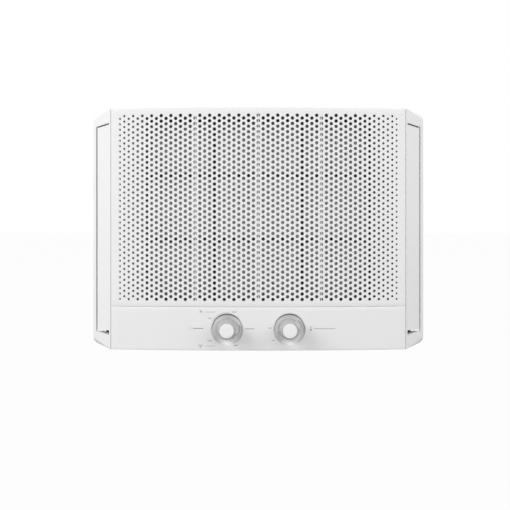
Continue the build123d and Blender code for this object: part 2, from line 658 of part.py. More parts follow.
# ---- air filter, its mesh, and the frame that guides it ----
filter_bottom = EVAPORATOR_BOTTOM - 6.0
filter_top = FASCIA_HEIGHT - 0.8
filter_height = filter_top - filter_bottom
filter_middle = (filter_top + filter_bottom) / 2
filter_rear = filter_front + FILTER_THICKNESS
mesh_width = FILTER_WIDTH - 2 * FILTER_BAR
with BuildPart() as filter_frame:
    with BuildSketch(front_plane(0, filter_middle, filter_rear)):
        Rectangle(FILTER_WIDTH, filter_height)
        Rectangle(mesh_width, filter_height - 2 * FILTER_BAR, mode=Mode.SUBTRACT)
        with GridLocations(FILTER_RIB_SPACING, 0, 2, 1):
            Rectangle(FILTER_RIB, filter_height - FILTER_BAR)
        with Locations(*[(0, level - filter_middle) for level in FILTER_ROWS]):
            Rectangle(FILTER_WIDTH - FILTER_BAR, FILTER_RIB)
    extrude(amount=FILTER_THICKNESS)
    # The mesh sits in a groove behind the bars, and a notch in the top bar takes a fingertip.
    with BuildSketch(front_plane(0, filter_middle, filter_rear)):
        Rectangle(mesh_width + FILTER_BAR, filter_height - FILTER_BAR)
    extrude(amount=1.0, mode=Mode.SUBTRACT)
    with BuildSketch(front_plane(0, filter_top, filter_front + 1.6)):
        RectangleRounded(TAB_WIDTH, 6.0, 2.0)
    extrude(amount=2, mode=Mode.SUBTRACT)
filter_frame.part.label = "filter_frame"
export_step(filter_frame.part, "parts/filter_frame.step")

with BuildPart() as filter_mesh:
    with BuildSketch(front_plane(0, filter_middle, filter_rear - 0.3)):
        Rectangle(mesh_width + FILTER_BAR - 0.4, filter_height - FILTER_BAR - 0.4)
    extrude(amount=0.6)
filter_mesh.part.label = "filter_mesh"
export_step(filter_mesh.part, "parts/filter_mesh.step")

guide_half = FILTER_WIDTH / 2 + FILTER_CLEARANCE + GUIDE_WALL
guide_bottom = filter_bottom - FILTER_CLEARANCE - GUIDE_WALL
guide_top = FASCIA_HEIGHT - WALL - 0.6
guide_depth = FILTER_THICKNESS + 2 * (FILTER_CLEARANCE + GUIDE_WALL)
with BuildPart() as filter_guide:
    guide_middle = (guide_bottom + guide_top) / 2
    guide_height = guide_top - guide_bottom
    with BuildSketch(front_plane(0, guide_middle, filter_rear + FILTER_CLEARANCE + GUIDE_WALL)):
        Rectangle(2 * guide_half, guide_height)
        with Locations((0, GUIDE_LIP)):
            Rectangle(2 * (guide_half - GUIDE_LIP), guide_height, mode=Mode.SUBTRACT)
    extrude(amount=guide_depth)
    with BuildSketch(front_plane(0, guide_middle + GUIDE_WALL, filter_rear + FILTER_CLEARANCE)):
        Rectangle(2 * (guide_half - GUIDE_WALL), guide_height)
    extrude(amount=guide_depth - 2 * GUIDE_WALL, mode=Mode.SUBTRACT)
    # Two rear cross bars hold the side channels together behind the filter.
    for level in (guide_bottom + 4, guide_top - 4):
        with BuildSketch(front_plane(0, level, filter_rear + FILTER_CLEARANCE + GUIDE_WALL)):
            Rectangle(2 * guide_half, 8)
        extrude(amount=GUIDE_WALL)
    # A flange on either side closes the gap to the fascia's ledges.
    for side in (-1, 1):
        flange_x = side * (guide_half + GUIDE_FLANGE / 2 - 0.5)
        with BuildSketch(front_plane(flange_x, guide_middle, filter_rear + FILTER_CLEARANCE + GUIDE_WALL)):
            Rectangle(GUIDE_FLANGE, guide_height)
        extrude(amount=GUIDE_WALL)
filter_guide.part.label = "filter_guide"
export_step(filter_guide.part, "parts/filter_guide.step")


# ---- finned coils ----
def tube_places(bottom, top, depth):
    """Heights and depths of a coil's tubes: two banks, as many rows as fit."""
    rows = int((top - bottom - TUBE_PITCH / 2) / TUBE_PITCH)
    rows -= rows % 2
    first = (bottom + top) / 2 - (rows - 1) * TUBE_PITCH / 2
    return [(bank * depth / 4, first + row * TUBE_PITCH) for bank in (-1, 1) for row in range(rows)]


def coil_fins(width, bottom, top, y, depth):
    """A stack of flat fins, each pierced by every tube."""
    count = int(width / FIN_PITCH)
    first = -(count - 1) * FIN_PITCH / 2 - FIN_THICKNESS / 2
    middle = y + depth / 2
    with BuildPart() as fin:
        with BuildSketch(Plane.YZ.offset(first)):
            with Locations((middle, (bottom + top) / 2)):
                Rectangle(depth, top - bottom)
            with Locations(*[(middle + across, z) for across, z in tube_places(bottom, top, depth)]):
                Circle(TUBE_RADIUS, mode=Mode.SUBTRACT)
        extrude(amount=FIN_THICKNESS)
    places = [Location((number * FIN_PITCH, 0, 0)) for number in range(count)]
    return Compound(children=[fin.part.moved(place) for place in places])


def coil_tubes(width, bottom, top, y, depth):
    """One winding tube: down the front bank, across at the bottom, and up the rear bank.
    Both of its ends are at the top of the right side."""
    places = tube_places(bottom, top, depth)
    rows = len(places) // 2
    heights = [z for across, z in places[:rows]]
    front = y + depth / 4
    rear = y + depth * 3 / 4
    half = width / 2
    bend = TUBE_PITCH / 2
    with BuildPart() as tubes:
        with BuildLine() as path:
            for bank_y, order in ((front, list(reversed(heights))), (rear, heights)):
                for number, z in enumerate(order):
                    end = half if number % 2 == 0 else -half
                    Line((end, bank_y, z), (-end, bank_y, z))
                    if number + 1 < rows:
                        middle_z = (z + order[number + 1]) / 2
                        outside = -end - bend if end > 0 else -end + bend
                        ThreePointArc(
                            (-end, bank_y, z),
                            (outside, bank_y, middle_z),
                            (-end, bank_y, order[number + 1]),
                        )
            crossing = (rear - front) / 2
            ThreePointArc(
                (half, front, heights[0]),
                (half + crossing, y + depth / 2, heights[0]),
                (half, rear, heights[0]),
            )
        with BuildSketch(Plane(origin=(half, front, heights[-1]), z_dir=(-1, 0, 0))):
            Circle(TUBE_RADIUS)
            Circle(TUBE_BORE, mode=Mode.SUBTRACT)
        sweep()
    return tubes.part


evaporator_size = (EVAPORATOR_WIDTH, EVAPORATOR_BOTTOM, EVAPORATOR_TOP, EVAPORATOR_Y, EVAPORATOR_DEPTH)
condenser_size = (CONDENSER_WIDTH, CONDENSER_BOTTOM, CONDENSER_TOP, CONDENSER_Y, CONDENSER_DEPTH)
for name, size in (("evaporator", evaporator_size), ("condenser", condenser_size)):
    fins = coil_fins(*size)
    fins.label = f"{name}_fins"
    export_step(fins, f"parts/{name}_fins.step")
    tubes = coil_tubes(*size)
    tubes.label = f"{name}_tubes"
    export_step(tubes, f"parts/{name}_tubes.step")

coil_end_z = {
    "evaporator": max(z for across, z in tube_places(EVAPORATOR_BOTTOM, EVAPORATOR_TOP, EVAPORATOR_DEPTH)),
    "condenser": max(z for across, z in tube_places(CONDENSER_BOTTOM, CONDENSER_TOP, CONDENSER_DEPTH)),
}

# ---- sheet-metal base pan on two runners ----
pan_half = HALF_CABINET - SHEET - PAN_FIT
pan_back = BACK_Y - SHEET - PAN_FIT
pan_step = WALL_Y + 1.0
pan_front = bracket_y - 5
drain_x = -180.0
drain_z = PAN_BOTTOM + PAN_WALL / 2
floor_top = PAN_BOTTOM + SHEET
screw_ys = [WALL_Y + CABINET_DEPTH * share for share in (0.14, 0.5, 0.86)]
guard_screw_xs = (-0.8 * pan_half, -0.25 * pan_half, 0.25 * pan_half, 0.8 * pan_half)
hole_radius = SCREW_RADIUS + SCREW_CLEARANCE
with BuildPart() as base_pan:
    with BuildSketch(Plane.XY.offset(PAN_BOTTOM)) as pan_outline:
        with BuildLine():
            Polyline(
                (PAN_TONGUE_WIDTH / 2, pan_front),
                (PAN_TONGUE_WIDTH / 2, pan_step),
                (pan_half, pan_step),
                (pan_half, pan_back),
                (-pan_half, pan_back),
                (-pan_half, pan_step),
                (-PAN_TONGUE_WIDTH / 2, pan_step),
                (-PAN_TONGUE_WIDTH / 2, pan_front),
                close=True,
            )
        make_face()
    extrude(amount=PAN_WALL)
    with BuildSketch(Plane.XY.offset(floor_top)):
        add(pan_outline.sketch)
        offset(amount=-SHEET, kind=Kind.INTERSECTION, mode=Mode.REPLACE)
    extrude(amount=PAN_WALL, mode=Mode.SUBTRACT)
    with Locations(rear_plane(drain_x, drain_z, pan_back)):
        Hole(DRAIN_BORE + 1.2, depth=3 * SHEET)
    for side in (-1, 1):
        for y in screw_ys:
            with Locations(side_plane(side * pan_half, y, drain_z, side)):
                Hole(hole_radius, depth=3 * SHEET)
    for x in guard_screw_xs:
        with Locations(rear_plane(x, drain_z, pan_back)):
            Hole(hole_radius, depth=3 * SHEET)
base_pan.part.label = "base_pan"
export_step(base_pan.part, "parts/base_pan.step")

with BuildPart() as base_runners:
    with BuildSketch(rear_plane(0, 0, WALL_Y + 30)):
        for x in (-RUNNER_SPACING / 2, RUNNER_SPACING / 2):
            with Locations((x, RUNNER_HEIGHT - SHEET / 2)):
                Rectangle(RUNNER_WIDTH, SHEET)
            with Locations((x, RUNNER_HEIGHT / 2)):
                Rectangle(RUNNER_WIDTH * 0.6, RUNNER_HEIGHT)
    extrude(amount=CABINET_DEPTH - 60)
base_runners.part.label = "base_runners"
export_step(base_runners.part, "parts/base_runners.step")

with BuildPart() as drain_spout:
    with BuildSketch(rear_plane(drain_x, drain_z, pan_back)):
        Circle(DRAIN_NECK)
    extrude(amount=BACK_Y - pan_back)
    with BuildSketch(rear_plane(drain_x, drain_z, BACK_Y)):
        Circle(DRAIN_RADIUS)
    extrude(amount=DRAIN_REACH)
    with BuildSketch(front_plane(drain_x, drain_z, pan_back - SHEET)):
        Circle(DRAIN_RADIUS + 2)
    extrude(amount=2)
    with BuildSketch(rear_plane(drain_x, drain_z, pan_back - SHEET - 1)):
        Circle(DRAIN_BORE + 1.0)
    extrude(amount=SHEET + 2)
    with Locations(rear_plane(drain_x, drain_z, BACK_Y + DRAIN_REACH)):
        Hole(DRAIN_BORE, depth=60)
drain_spout.part.label = "drain_spout"
export_step(drain_spout.part, "parts/drain_spout.step")

# ---- cabinet sleeve: one bent sheet over the top and both sides, with side and top slots ----
slot_zone_front = BULKHEAD_Y + 60.0
slot_zone_back = SHROUD_Y - 20.0
slot_columns = int((slot_zone_back - slot_zone_front) / (SLOT_LENGTH + 14))
slot_rows = 12
with BuildPart() as cabinet_sleeve:
    with BuildSketch(rear_plane(0, 0, WALL_Y - CABINET_LAP)):
        with Locations((0, (CABINET_TOP + CABINET_BOTTOM) / 2)):
            Rectangle(CABINET_WIDTH, CABINET_TOP - CABINET_BOTTOM)
    extrude(amount=CABINET_DEPTH + CABINET_LAP)
    long_edges = cabinet_sleeve.edges().filter_by(Axis.Y).group_by(Axis.Z)[-1]
    fillet(long_edges, CABINET_BEND)
    with BuildSketch(rear_plane(0, 0, WALL_Y - CABINET_LAP)):
        with Locations((0, (CABINET_TOP + CABINET_BOTTOM) / 2 - SHEET)):
            inside = Rectangle(CABINET_WIDTH - 2 * SHEET, CABINET_TOP - CABINET_BOTTOM)
        fillet(inside.vertices().group_by(Axis.Y)[-1], CABINET_BEND - SHEET)
    extrude(amount=CABINET_DEPTH + CABINET_LAP, mode=Mode.SUBTRACT)
    slot_middle = (slot_zone_front + slot_zone_back) / 2
    with BuildSketch(Plane.YZ.offset(-HALF_CABINET - 1)):
        with Locations((slot_middle, CABINET_TOP * 0.55)):
            with GridLocations(SLOT_LENGTH + 14, SLOT_PITCH, slot_columns, slot_rows):
                SlotOverall(SLOT_LENGTH, SLOT_WIDTH)
    extrude(amount=CABINET_WIDTH + 2, mode=Mode.SUBTRACT)
    with BuildSketch(Plane.XY.offset(CABINET_TOP - 2 * SHEET)):
        with Locations((0, slot_middle)):
            with GridLocations(SLOT_LENGTH + 14, SLOT_PITCH, 4, slot_rows):
                SlotOverall(SLOT_LENGTH, SLOT_WIDTH)
    extrude(amount=4 * SHEET, mode=Mode.SUBTRACT)
    for side in (-1, 1):
        for y in screw_ys:
            with Locations(side_plane(side * HALF_CABINET, y, drain_z, side)):
                Hole(hole_radius, depth=3 * SHEET)
        with Locations(Plane(origin=(side * LUG_SPACING / 2, lug_y, CABINET_TOP), z_dir=(0, 0, 1))):
            Hole(hole_radius, depth=3 * SHEET)
        # The front edge is cut back where the vane swings in.
        notch_bottom = OUTLET_BOTTOM + VANE_END_GAP - 1
        notch_top = OUTLET_TOP - VANE_END_GAP + 1
        notch_y = WALL_Y - CABINET_LAP + VANE_NOTCH / 2
        with Locations((side * HALF_CABINET, notch_y, (notch_bottom + notch_top) / 2)):
            Box(6 * SHEET, VANE_NOTCH, notch_top - notch_bottom, mode=Mode.SUBTRACT)
    with Locations(gland_plane):
        Hole(GLAND_RADIUS + 0.1, depth=3 * SHEET)
cabinet_sleeve.part.label = "cabinet_sleeve"
export_step(cabinet_sleeve.part, "parts/cabinet_sleeve.step")

guard_top = CABINET_TOP - SHEET - PAN_FIT
guard_middle = (guard_top + CABINET_BOTTOM) / 2
guard_columns = int((2 * pan_half - 30) / (GUARD_SLOT_LENGTH + 12))
guard_rows = int((guard_top - CABINET_BOTTOM - PAN_WALL - 24) / GUARD_SLOT_PITCH)
with BuildPart() as rear_guard:
    with BuildSketch(rear_plane(0, guard_middle, BACK_Y - SHEET)):
        plate = Rectangle(2 * pan_half, guard_top - CABINET_BOTTOM)
        fillet(plate.vertices().group_by(Axis.Y)[-1], CABINET_BEND - SHEET)
        with Locations((0, PAN_WALL / 2)):
            with GridLocations(GUARD_SLOT_LENGTH + 12, GUARD_SLOT_PITCH, guard_columns, guard_rows):
                SlotOverall(GUARD_SLOT_LENGTH, GUARD_SLOT_WIDTH, mode=Mode.SUBTRACT)
    extrude(amount=SHEET)
    with Locations(rear_plane(drain_x, drain_z, BACK_Y)):
        Hole(DRAIN_NECK + 0.4, depth=3 * SHEET)
    for x in guard_screw_xs:
        with Locations(rear_plane(x, drain_z, BACK_Y)):
            Hole(hole_radius, depth=3 * SHEET)
rear_guard.part.label = "rear_guard"
export_step(rear_guard.part, "parts/rear_guard.step")


def screw(place):
    """A pan-head screw with a cross recess, its shank going into the given plane."""
    with BuildPart() as piece:
        with BuildSketch(place):
            Circle(SCREW_HEAD_RADIUS)
        extrude(amount=SCREW_HEAD_HEIGHT)
        rim = piece.faces().sort_by(Axis(place.origin, place.z_dir))[-1].edges()
        fillet(rim, SCREW_HEAD_HEIGHT * 0.5)
        with BuildSketch(place.offset(SCREW_HEAD_HEIGHT)):
            Rectangle(SCREW_HEAD_RADIUS, 0.9)
            Rectangle(0.9, SCREW_HEAD_RADIUS)
        extrude(amount=-SCREW_HEAD_HEIGHT / 2, mode=Mode.SUBTRACT)
        with BuildSketch(place):
            Circle(SCREW_RADIUS)
        extrude(amount=-SCREW_LENGTH)
    return piece.part


side_screws = []
frame_screws = []
for side in (-1, 1):
    for y in screw_ys:
        side_screws.append(screw(side_plane(side * HALF_CABINET, y, drain_z, side)))
    inside = Plane(origin=(side * LUG_SPACING / 2, lug_y, CABINET_TOP - SHEET), z_dir=(0, 0, -1))
    frame_screws.append(screw(inside))
cabinet_screws = Compound(children=side_screws)
cabinet_screws.label = "cabinet_screws"
export_step(cabinet_screws, "parts/cabinet_screws.step")
bezel_screws = Compound(children=frame_screws)
bezel_screws.label = "bezel_screws"
export_step(bezel_screws, "parts/bezel_screws.step")
guard_screws = Compound(children=[screw(rear_plane(x, drain_z, BACK_Y)) for x in guard_screw_xs])
guard_screws.label = "guard_screws"
export_step(guard_screws, "parts/guard_screws.step")

# ---- foam seal between the fascia and the cabinet, over the top and both sides ----
with BuildPart() as wall_seal:
    with BuildSketch(rear_plane(0, 0, WALL_Y - 7)):
        with Locations((0, (PAN_WALL + 6 + FASCIA_HEIGHT - WALL) / 2)):
            outside = Rectangle(CABINET_WIDTH + 32, FASCIA_HEIGHT - WALL - PAN_WALL - 7)
        chamfer(outside.vertices(), SEAL_CORNER)
        with Locations((0, (CABINET_TOP + PAN_FIT) / 2)):
            Rectangle(CABINET_WIDTH + 2 * PAN_FIT, CABINET_TOP + PAN_FIT, mode=Mode.SUBTRACT)
    extrude(amount=6)
wall_seal.part.label = "wall_seal"
export_step(wall_seal.part, "parts/wall_seal.step")

# ---- air path: drip tray, inlet plate with its duct walls, scroll and bulkhead ----
coil_clear = EVAPORATOR_WIDTH / 2 + TUBE_PITCH / 2 + TUBE_RADIUS
duct_half = coil_clear + 3.0 + WALL
inner_top = CABINET_TOP - SHEET - 1.0
inlet_y = SCROLL_Y - COVER_GAP - WALL
pipe_x = EVAPORATOR_WIDTH / 2 + 14.0
end_z = coil_end_z["evaporator"]
capillary_z = end_z - 14.3
wall_passes = (
    (0, FAN_HEIGHT, 14),
    (pipe_x, end_z, PIPE_RADIUS + 1),
    (pipe_x, capillary_z, CAPILLARY_RADIUS + 1),
)
with BuildPart() as drip_tray:
    tray_y = EVAPORATOR_Y + EVAPORATOR_DEPTH / 2
    with BuildSketch(Plane.XY.offset(drip_tray_bottom)):
        with Locations((0, tray_y)):
            Rectangle(2 * coil_clear - 20, EVAPORATOR_DEPTH + 8)
    extrude(amount=EVAPORATOR_BOTTOM - drip_tray_bottom - 0.4)
    with BuildSketch(Plane.XY.offset(drip_tray_bottom + WALL)):
        with Locations((0, tray_y)):
            Rectangle(2 * coil_clear - 20 - 2 * WALL, EVAPORATOR_DEPTH + 8 - 2 * WALL)
    extrude(amount=EVAPORATOR_BOTTOM, mode=Mode.SUBTRACT)
    with Locations((0.3 * EVAPORATOR_WIDTH, tray_y, drip_tray_bottom)):
        Cylinder(4, 3 * WALL, mode=Mode.SUBTRACT)
    # Two saddles carry the coil.
    for x in (-EVAPORATOR_WIDTH * 0.4, EVAPORATOR_WIDTH * 0.4):
        with Locations((x, tray_y, (drip_tray_bottom + EVAPORATOR_BOTTOM) / 2)):
            Box(14, EVAPORATOR_DEPTH, EVAPORATOR_BOTTOM - drip_tray_bottom)
drip_tray.part.label = "drip_tray"
export_step(drip_tray.part, "parts/drip_tray.step")

with BuildPart() as inlet_plate:
    plate_bottom = PAN_BOTTOM + PAN_WALL + 2
    duct_front = filter_rear + FILTER_CLEARANCE + GUIDE_WALL + 0.5
    with BuildSketch(Plane.XY.offset(plate_bottom)):
        with Locations((0, inlet_y + WALL / 2)):
            Rectangle(2 * duct_half, WALL)
        for side in (-1, 1):
            with Locations((side * (duct_half - WALL / 2), (duct_front + inlet_y) / 2)):
                Rectangle(WALL, inlet_y - duct_front)
    extrude(amount=inner_top - plate_bottom)
    with Locations(front_plane(0, FAN_HEIGHT, inlet_y)):
        Hole(BLOWER_RADIUS * 0.82, depth=2 * WALL)
    with BuildSketch(rear_plane(0, FAN_HEIGHT, inlet_y + WALL)):
        Circle(BLOWER_RADIUS * 0.82 + WALL)
        Circle(BLOWER_RADIUS * 0.82, mode=Mode.SUBTRACT)
    extrude(amount=6)
    with Locations(front_plane(pipe_x, end_z, inlet_y)):
        Hole(PIPE_RADIUS + 1, depth=2 * WALL)
    with Locations(front_plane(pipe_x, capillary_z, inlet_y)):
        Hole(CAPILLARY_RADIUS + 1, depth=2 * WALL)
inlet_plate.part.label = "inlet_plate"
export_step(inlet_plate.part, "parts/inlet_plate.step")

scroll_bottom = PAN_BOTTOM + PAN_WALL + 2
scroll_half = HALF_CABINET - SHEET - 1.5
with BuildPart() as blower_scroll:
    with BuildSketch(rear_plane(0, (scroll_bottom + inner_top) / 2, SCROLL_Y)):
        Rectangle(2 * scroll_half, inner_top - scroll_bottom)
    extrude(amount=SCROLL_DEPTH - 0.4)
    with BuildSketch(rear_plane(0, 0, SCROLL_Y)):
        with Locations((0, FAN_HEIGHT)):
            Circle(BLOWER_RADIUS + 14)
        with BuildLine():
            Polyline(
                (0, FAN_HEIGHT + BLOWER_RADIUS),
                (scroll_half + 1, inner_top - 8),
                (scroll_half + 1, scroll_bottom + 8),
                (0, FAN_HEIGHT - BLOWER_RADIUS),
                (-scroll_half - 1, scroll_bottom + 8),
                (-scroll_half - 1, inner_top - 8),
                close=True,
            )
        make_face()
    extrude(amount=SCROLL_DEPTH - 5, mode=Mode.SUBTRACT)
    for x, z, radius in wall_passes:
        with Locations(rear_plane(x, z, BULKHEAD_Y)):
            Hole(radius, depth=8)
blower_scroll.part.label = "blower_scroll"
export_step(blower_scroll.part, "parts/blower_scroll.step")

with BuildPart() as bulkhead:
    with BuildSketch(rear_plane(0, (floor_top + inner_top) / 2, BULKHEAD_Y)):
        Rectangle(2 * (pan_half - SHEET - 0.5), inner_top - floor_top)
    extrude(amount=SHEET)
    for x, z, radius in wall_passes:
        with Locations(rear_plane(x, z, BULKHEAD_Y + SHEET)):
            Hole(radius, depth=8)
bulkhead.part.label = "bulkhead"
export_step(bulkhead.part, "parts/bulkhead.step")

# ---- fan motor, its bracket, and the rotor: shaft, blower wheel and condenser fan ----
motor_back = MOTOR_Y + MOTOR_LENGTH
with BuildPart() as fan_motor:
    with BuildSketch(rear_plane(0, FAN_HEIGHT, MOTOR_Y)):
        Circle(MOTOR_RADIUS)
    extrude(amount=MOTOR_LENGTH)
    fillet(fan_motor.edges().filter_by(GeomType.CIRCLE), 8)
    with BuildSketch(rear_plane(0, FAN_HEIGHT, MOTOR_Y - 5)):
        Circle(13)
    extrude(amount=MOTOR_LENGTH + 10)
    with Locations(rear_plane(0, FAN_HEIGHT, motor_back + 5)):
        Hole(FAN_SHAFT_RADIUS + RUNNING_FIT, depth=MOTOR_LENGTH + 10)
fan_motor.part.label = "fan_motor"
export_step(fan_motor.part, "parts/fan_motor.step")

with BuildPart() as motor_bracket:
    bracket_top = FAN_HEIGHT + MOTOR_RADIUS * 0.8
    with BuildSketch(rear_plane(0, 0, motor_back)):
        with BuildLine():
            Polyline((-70, floor_top), (70, floor_top), (34, bracket_top), (-34, bracket_top), close=True)
        make_face()
        with Locations((0, FAN_HEIGHT)):
            Circle(13.4, mode=Mode.SUBTRACT)
        with Locations((0, (floor_top + FAN_HEIGHT) / 2 - 20)):
            RectangleRounded(50, 70, 8, mode=Mode.SUBTRACT)
    extrude(amount=2)
    with BuildSketch(Plane.XY.offset(floor_top)):
        with Locations((0, motor_back + 21)):
            Rectangle(140, 40)
    extrude(amount=2)
motor_bracket.part.label = "motor_bracket"
export_step(motor_bracket.part, "parts/motor_bracket.step")

shaft_front = SCROLL_Y + 30
shaft_back = FAN_Y + 36
with BuildPart() as fan_shaft:
    with BuildSketch(rear_plane(0, FAN_HEIGHT, shaft_front)):
        Circle(FAN_SHAFT_RADIUS)
    extrude(amount=shaft_back - shaft_front)
    chamfer(fan_shaft.edges().filter_by(GeomType.CIRCLE), 0.8)
fan_shaft.part.label = "fan_shaft"
export_step(fan_shaft.part, "parts/fan_shaft.step")

wheel_front = SCROLL_Y + 10
with BuildPart() as blower_wheel:
    with BuildSketch(rear_plane(0, FAN_HEIGHT, wheel_front)):
        Circle(BLOWER_RADIUS)
        Circle(BLOWER_RADIUS - 15, mode=Mode.SUBTRACT)
    extrude(amount=2.5)
    with BuildSketch(rear_plane(0, FAN_HEIGHT, wheel_front)):
        with PolarLocations(BLOWER_RADIUS - 7.8, BLOWER_BLADES):
            Rectangle(13, 1.4, rotation=35)
    extrude(amount=BLOWER_WIDTH)
    with BuildSketch(rear_plane(0, FAN_HEIGHT, wheel_front + BLOWER_WIDTH - 2.5)):
        Circle(BLOWER_RADIUS)
        Circle(FAN_SHAFT_RADIUS, mode=Mode.SUBTRACT)
    extrude(amount=2.5)
    with BuildSketch(rear_plane(0, FAN_HEIGHT, wheel_front + BLOWER_WIDTH - 24)):
        Circle(14)
        Circle(FAN_SHAFT_RADIUS, mode=Mode.SUBTRACT)
    extrude(amount=24)
blower_wheel.part.label = "blower_wheel"
export_step(blower_wheel.part, "parts/blower_wheel.step")

blade_depth = BLADE_CHORD * sin(radians(BLADE_PITCH_ANGLE))
with BuildPart() as condenser_fan:
    with BuildSketch(rear_plane(0, FAN_HEIGHT, FAN_Y)):
        Circle(FAN_HUB_RADIUS)
    extrude(amount=blade_depth)
    fillet(condenser_fan.edges().filter_by(GeomType.CIRCLE).group_by(Axis.Y)[0], 5)
    for number in range(FAN_BLADES):
        angle = 360 / FAN_BLADES * number
        hub = rear_plane(0, FAN_HEIGHT, FAN_Y + blade_depth / 2) * Rotation(0, 0, angle)
        with Locations(hub * Location(((BLADE_ROOT + BLADE_TIP) / 2, 0, 0), (BLADE_PITCH_ANGLE, 0, 0))):
            Box(BLADE_TIP - BLADE_ROOT, BLADE_CHORD, 2.2)
    with BuildSketch(rear_plane(0, FAN_HEIGHT, FAN_Y + blade_depth / 2 - 7)):
        Circle(FAN_RADIUS)
        Circle(FAN_RADIUS - 7, mode=Mode.SUBTRACT)
    extrude(amount=14)
    with Locations(rear_plane(0, FAN_HEIGHT, FAN_Y + blade_depth)):
        Hole(FAN_SHAFT_RADIUS, depth=blade_depth + 2)
condenser_fan.part.label = "condenser_fan"
export_step(condenser_fan.part, "parts/condenser_fan.step")

shroud_half = CONDENSER_WIDTH / 2 + TUBE_PITCH / 2 + TUBE_RADIUS + 1 + WALL
shroud_bottom = CONDENSER_BOTTOM - 1 - WALL
shroud_top = CONDENSER_TOP + 1 + WALL
with BuildPart() as condenser_shroud:
    with BuildSketch(rear_plane(0, (shroud_bottom + shroud_top) / 2, SHROUD_Y)):
        Rectangle(2 * shroud_half, shroud_top - shroud_bottom)
    extrude(amount=CONDENSER_Y - SHROUD_Y + 3)
    with BuildSketch(rear_plane(0, (shroud_bottom + shroud_top) / 2, SHROUD_Y + WALL)):
        Rectangle(2 * (shroud_half - WALL), shroud_top - shroud_bottom - 2 * WALL)
    extrude(amount=CONDENSER_Y - SHROUD_Y + 3, mode=Mode.SUBTRACT)
    with Locations(rear_plane(0, FAN_HEIGHT, SHROUD_Y + WALL)):
        Hole(FAN_RADIUS + 5, depth=2 * WALL)
    with BuildSketch(front_plane(0, FAN_HEIGHT, SHROUD_Y)):
        Circle(FAN_RADIUS + 5 + WALL)
        Circle(FAN_RADIUS + 5, mode=Mode.SUBTRACT)
    extrude(amount=30)
condenser_shroud.part.label = "condenser_shroud"
export_step(condenser_shroud.part, "parts/condenser_shroud.step")

# ---- compressor on rubber grommets, with its accumulator ----
compressor_y = (BULKHEAD_Y + SHROUD_Y) / 2 - 22
grommet_top = floor_top + GROMMET_HEIGHT
shell_bottom = grommet_top + 3.0
shell_top = shell_bottom + COMPRESSOR_HEIGHT
foot_radius = COMPRESSOR_RADIUS + 14.0
with BuildPart() as compressor:
    with BuildSketch(Plane.XY.offset(shell_bottom)):
        with Locations((COMPRESSOR_X, compressor_y)):
            Circle(COMPRESSOR_RADIUS)
    extrude(amount=COMPRESSOR_HEIGHT)
    fillet(compressor.edges().group_by(Axis.Z)[-1], COMPRESSOR_RADIUS * 0.45)
    with BuildSketch(Plane.XY.offset(grommet_top)):
        with Locations((COMPRESSOR_X, compressor_y)):
            Circle(COMPRESSOR_RADIUS - 4)
            with PolarLocations(foot_radius / 2, 3):
                RectangleRounded(foot_radius + 22, 26, 8)
            with PolarLocations(foot_radius, 3):
                Circle(5.4, mode=Mode.SUBTRACT)
    extrude(amount=3.0)
    with BuildSketch(Plane.XY.offset(shell_bottom + COMPRESSOR_HEIGHT / 2)):
        with Locations((COMPRESSOR_X + COMPRESSOR_RADIUS - 2, compressor_y)):
            RectangleRounded(22, 34, 3)
    extrude(amount=40)
compressor.part.label = "compressor"
export_step(compressor.part, "parts/compressor.step")

with BuildPart() as compressor_grommets:
    with BuildSketch(Plane.XY.offset(floor_top)):
        with Locations((COMPRESSOR_X, compressor_y)):
            with PolarLocations(foot_radius, 3):
                Circle(11)
                Circle(3.2, mode=Mode.SUBTRACT)
    extrude(amount=GROMMET_HEIGHT)
    with BuildSketch(Plane.XY.offset(grommet_top)):
        with Locations((COMPRESSOR_X, compressor_y)):
            with PolarLocations(foot_radius, 3):
                Circle(5.2)
                Circle(3.2, mode=Mode.SUBTRACT)
    extrude(amount=5)
compressor_grommets.part.label = "compressor_grommets"
export_step(compressor_grommets.part, "parts/compressor_grommets.step")

with BuildPart() as compressor_studs:
    with BuildSketch(Plane.XY.offset(floor_top)):
        with Locations((COMPRESSOR_X, compressor_y)):
            with PolarLocations(foot_radius, 3):
                Circle(3.0)
    extrude(amount=GROMMET_HEIGHT + 14)
    with BuildSketch(Plane.XY.offset(grommet_top + 5)):
        with Locations((COMPRESSOR_X, compressor_y)):
            with PolarLocations(foot_radius, 3):
                RegularPolygon(5.8, 6)
    extrude(amount=5)
compressor_studs.part.label = "compressor_studs"
export_step(compressor_studs.part, "parts/compressor_studs.step")

accumulator_radius = 21.0
accumulator_x = pipe_x
accumulator_y = BULKHEAD_Y + SHEET + accumulator_radius + 20
accumulator_bottom = shell_bottom + 50.0
accumulator_top = accumulator_bottom + 110.0
toward = Vector(COMPRESSOR_X - accumulator_x, compressor_y - accumulator_y, 0)
touch = Vector(COMPRESSOR_X, compressor_y, accumulator_bottom - 22) - toward.normalized() * COMPRESSOR_RADIUS
with BuildPart() as accumulator:
    with BuildSketch(Plane.XY.offset(accumulator_bottom)):
        with Locations((accumulator_x, accumulator_y)):
            Circle(accumulator_radius)
    extrude(amount=accumulator_top - accumulator_bottom)
    fillet(accumulator.edges().filter_by(GeomType.CIRCLE), 9)
    add(pipe(
        [
            (accumulator_x, accumulator_y, accumulator_bottom + 4),
            (accumulator_x, accumulator_y, accumulator_bottom - 22),
            tuple(touch),
        ],
        PIPE_RADIUS,
        9,
    ))
accumulator.part.label = "accumulator"
export_step(accumulator.part, "parts/accumulator.step")

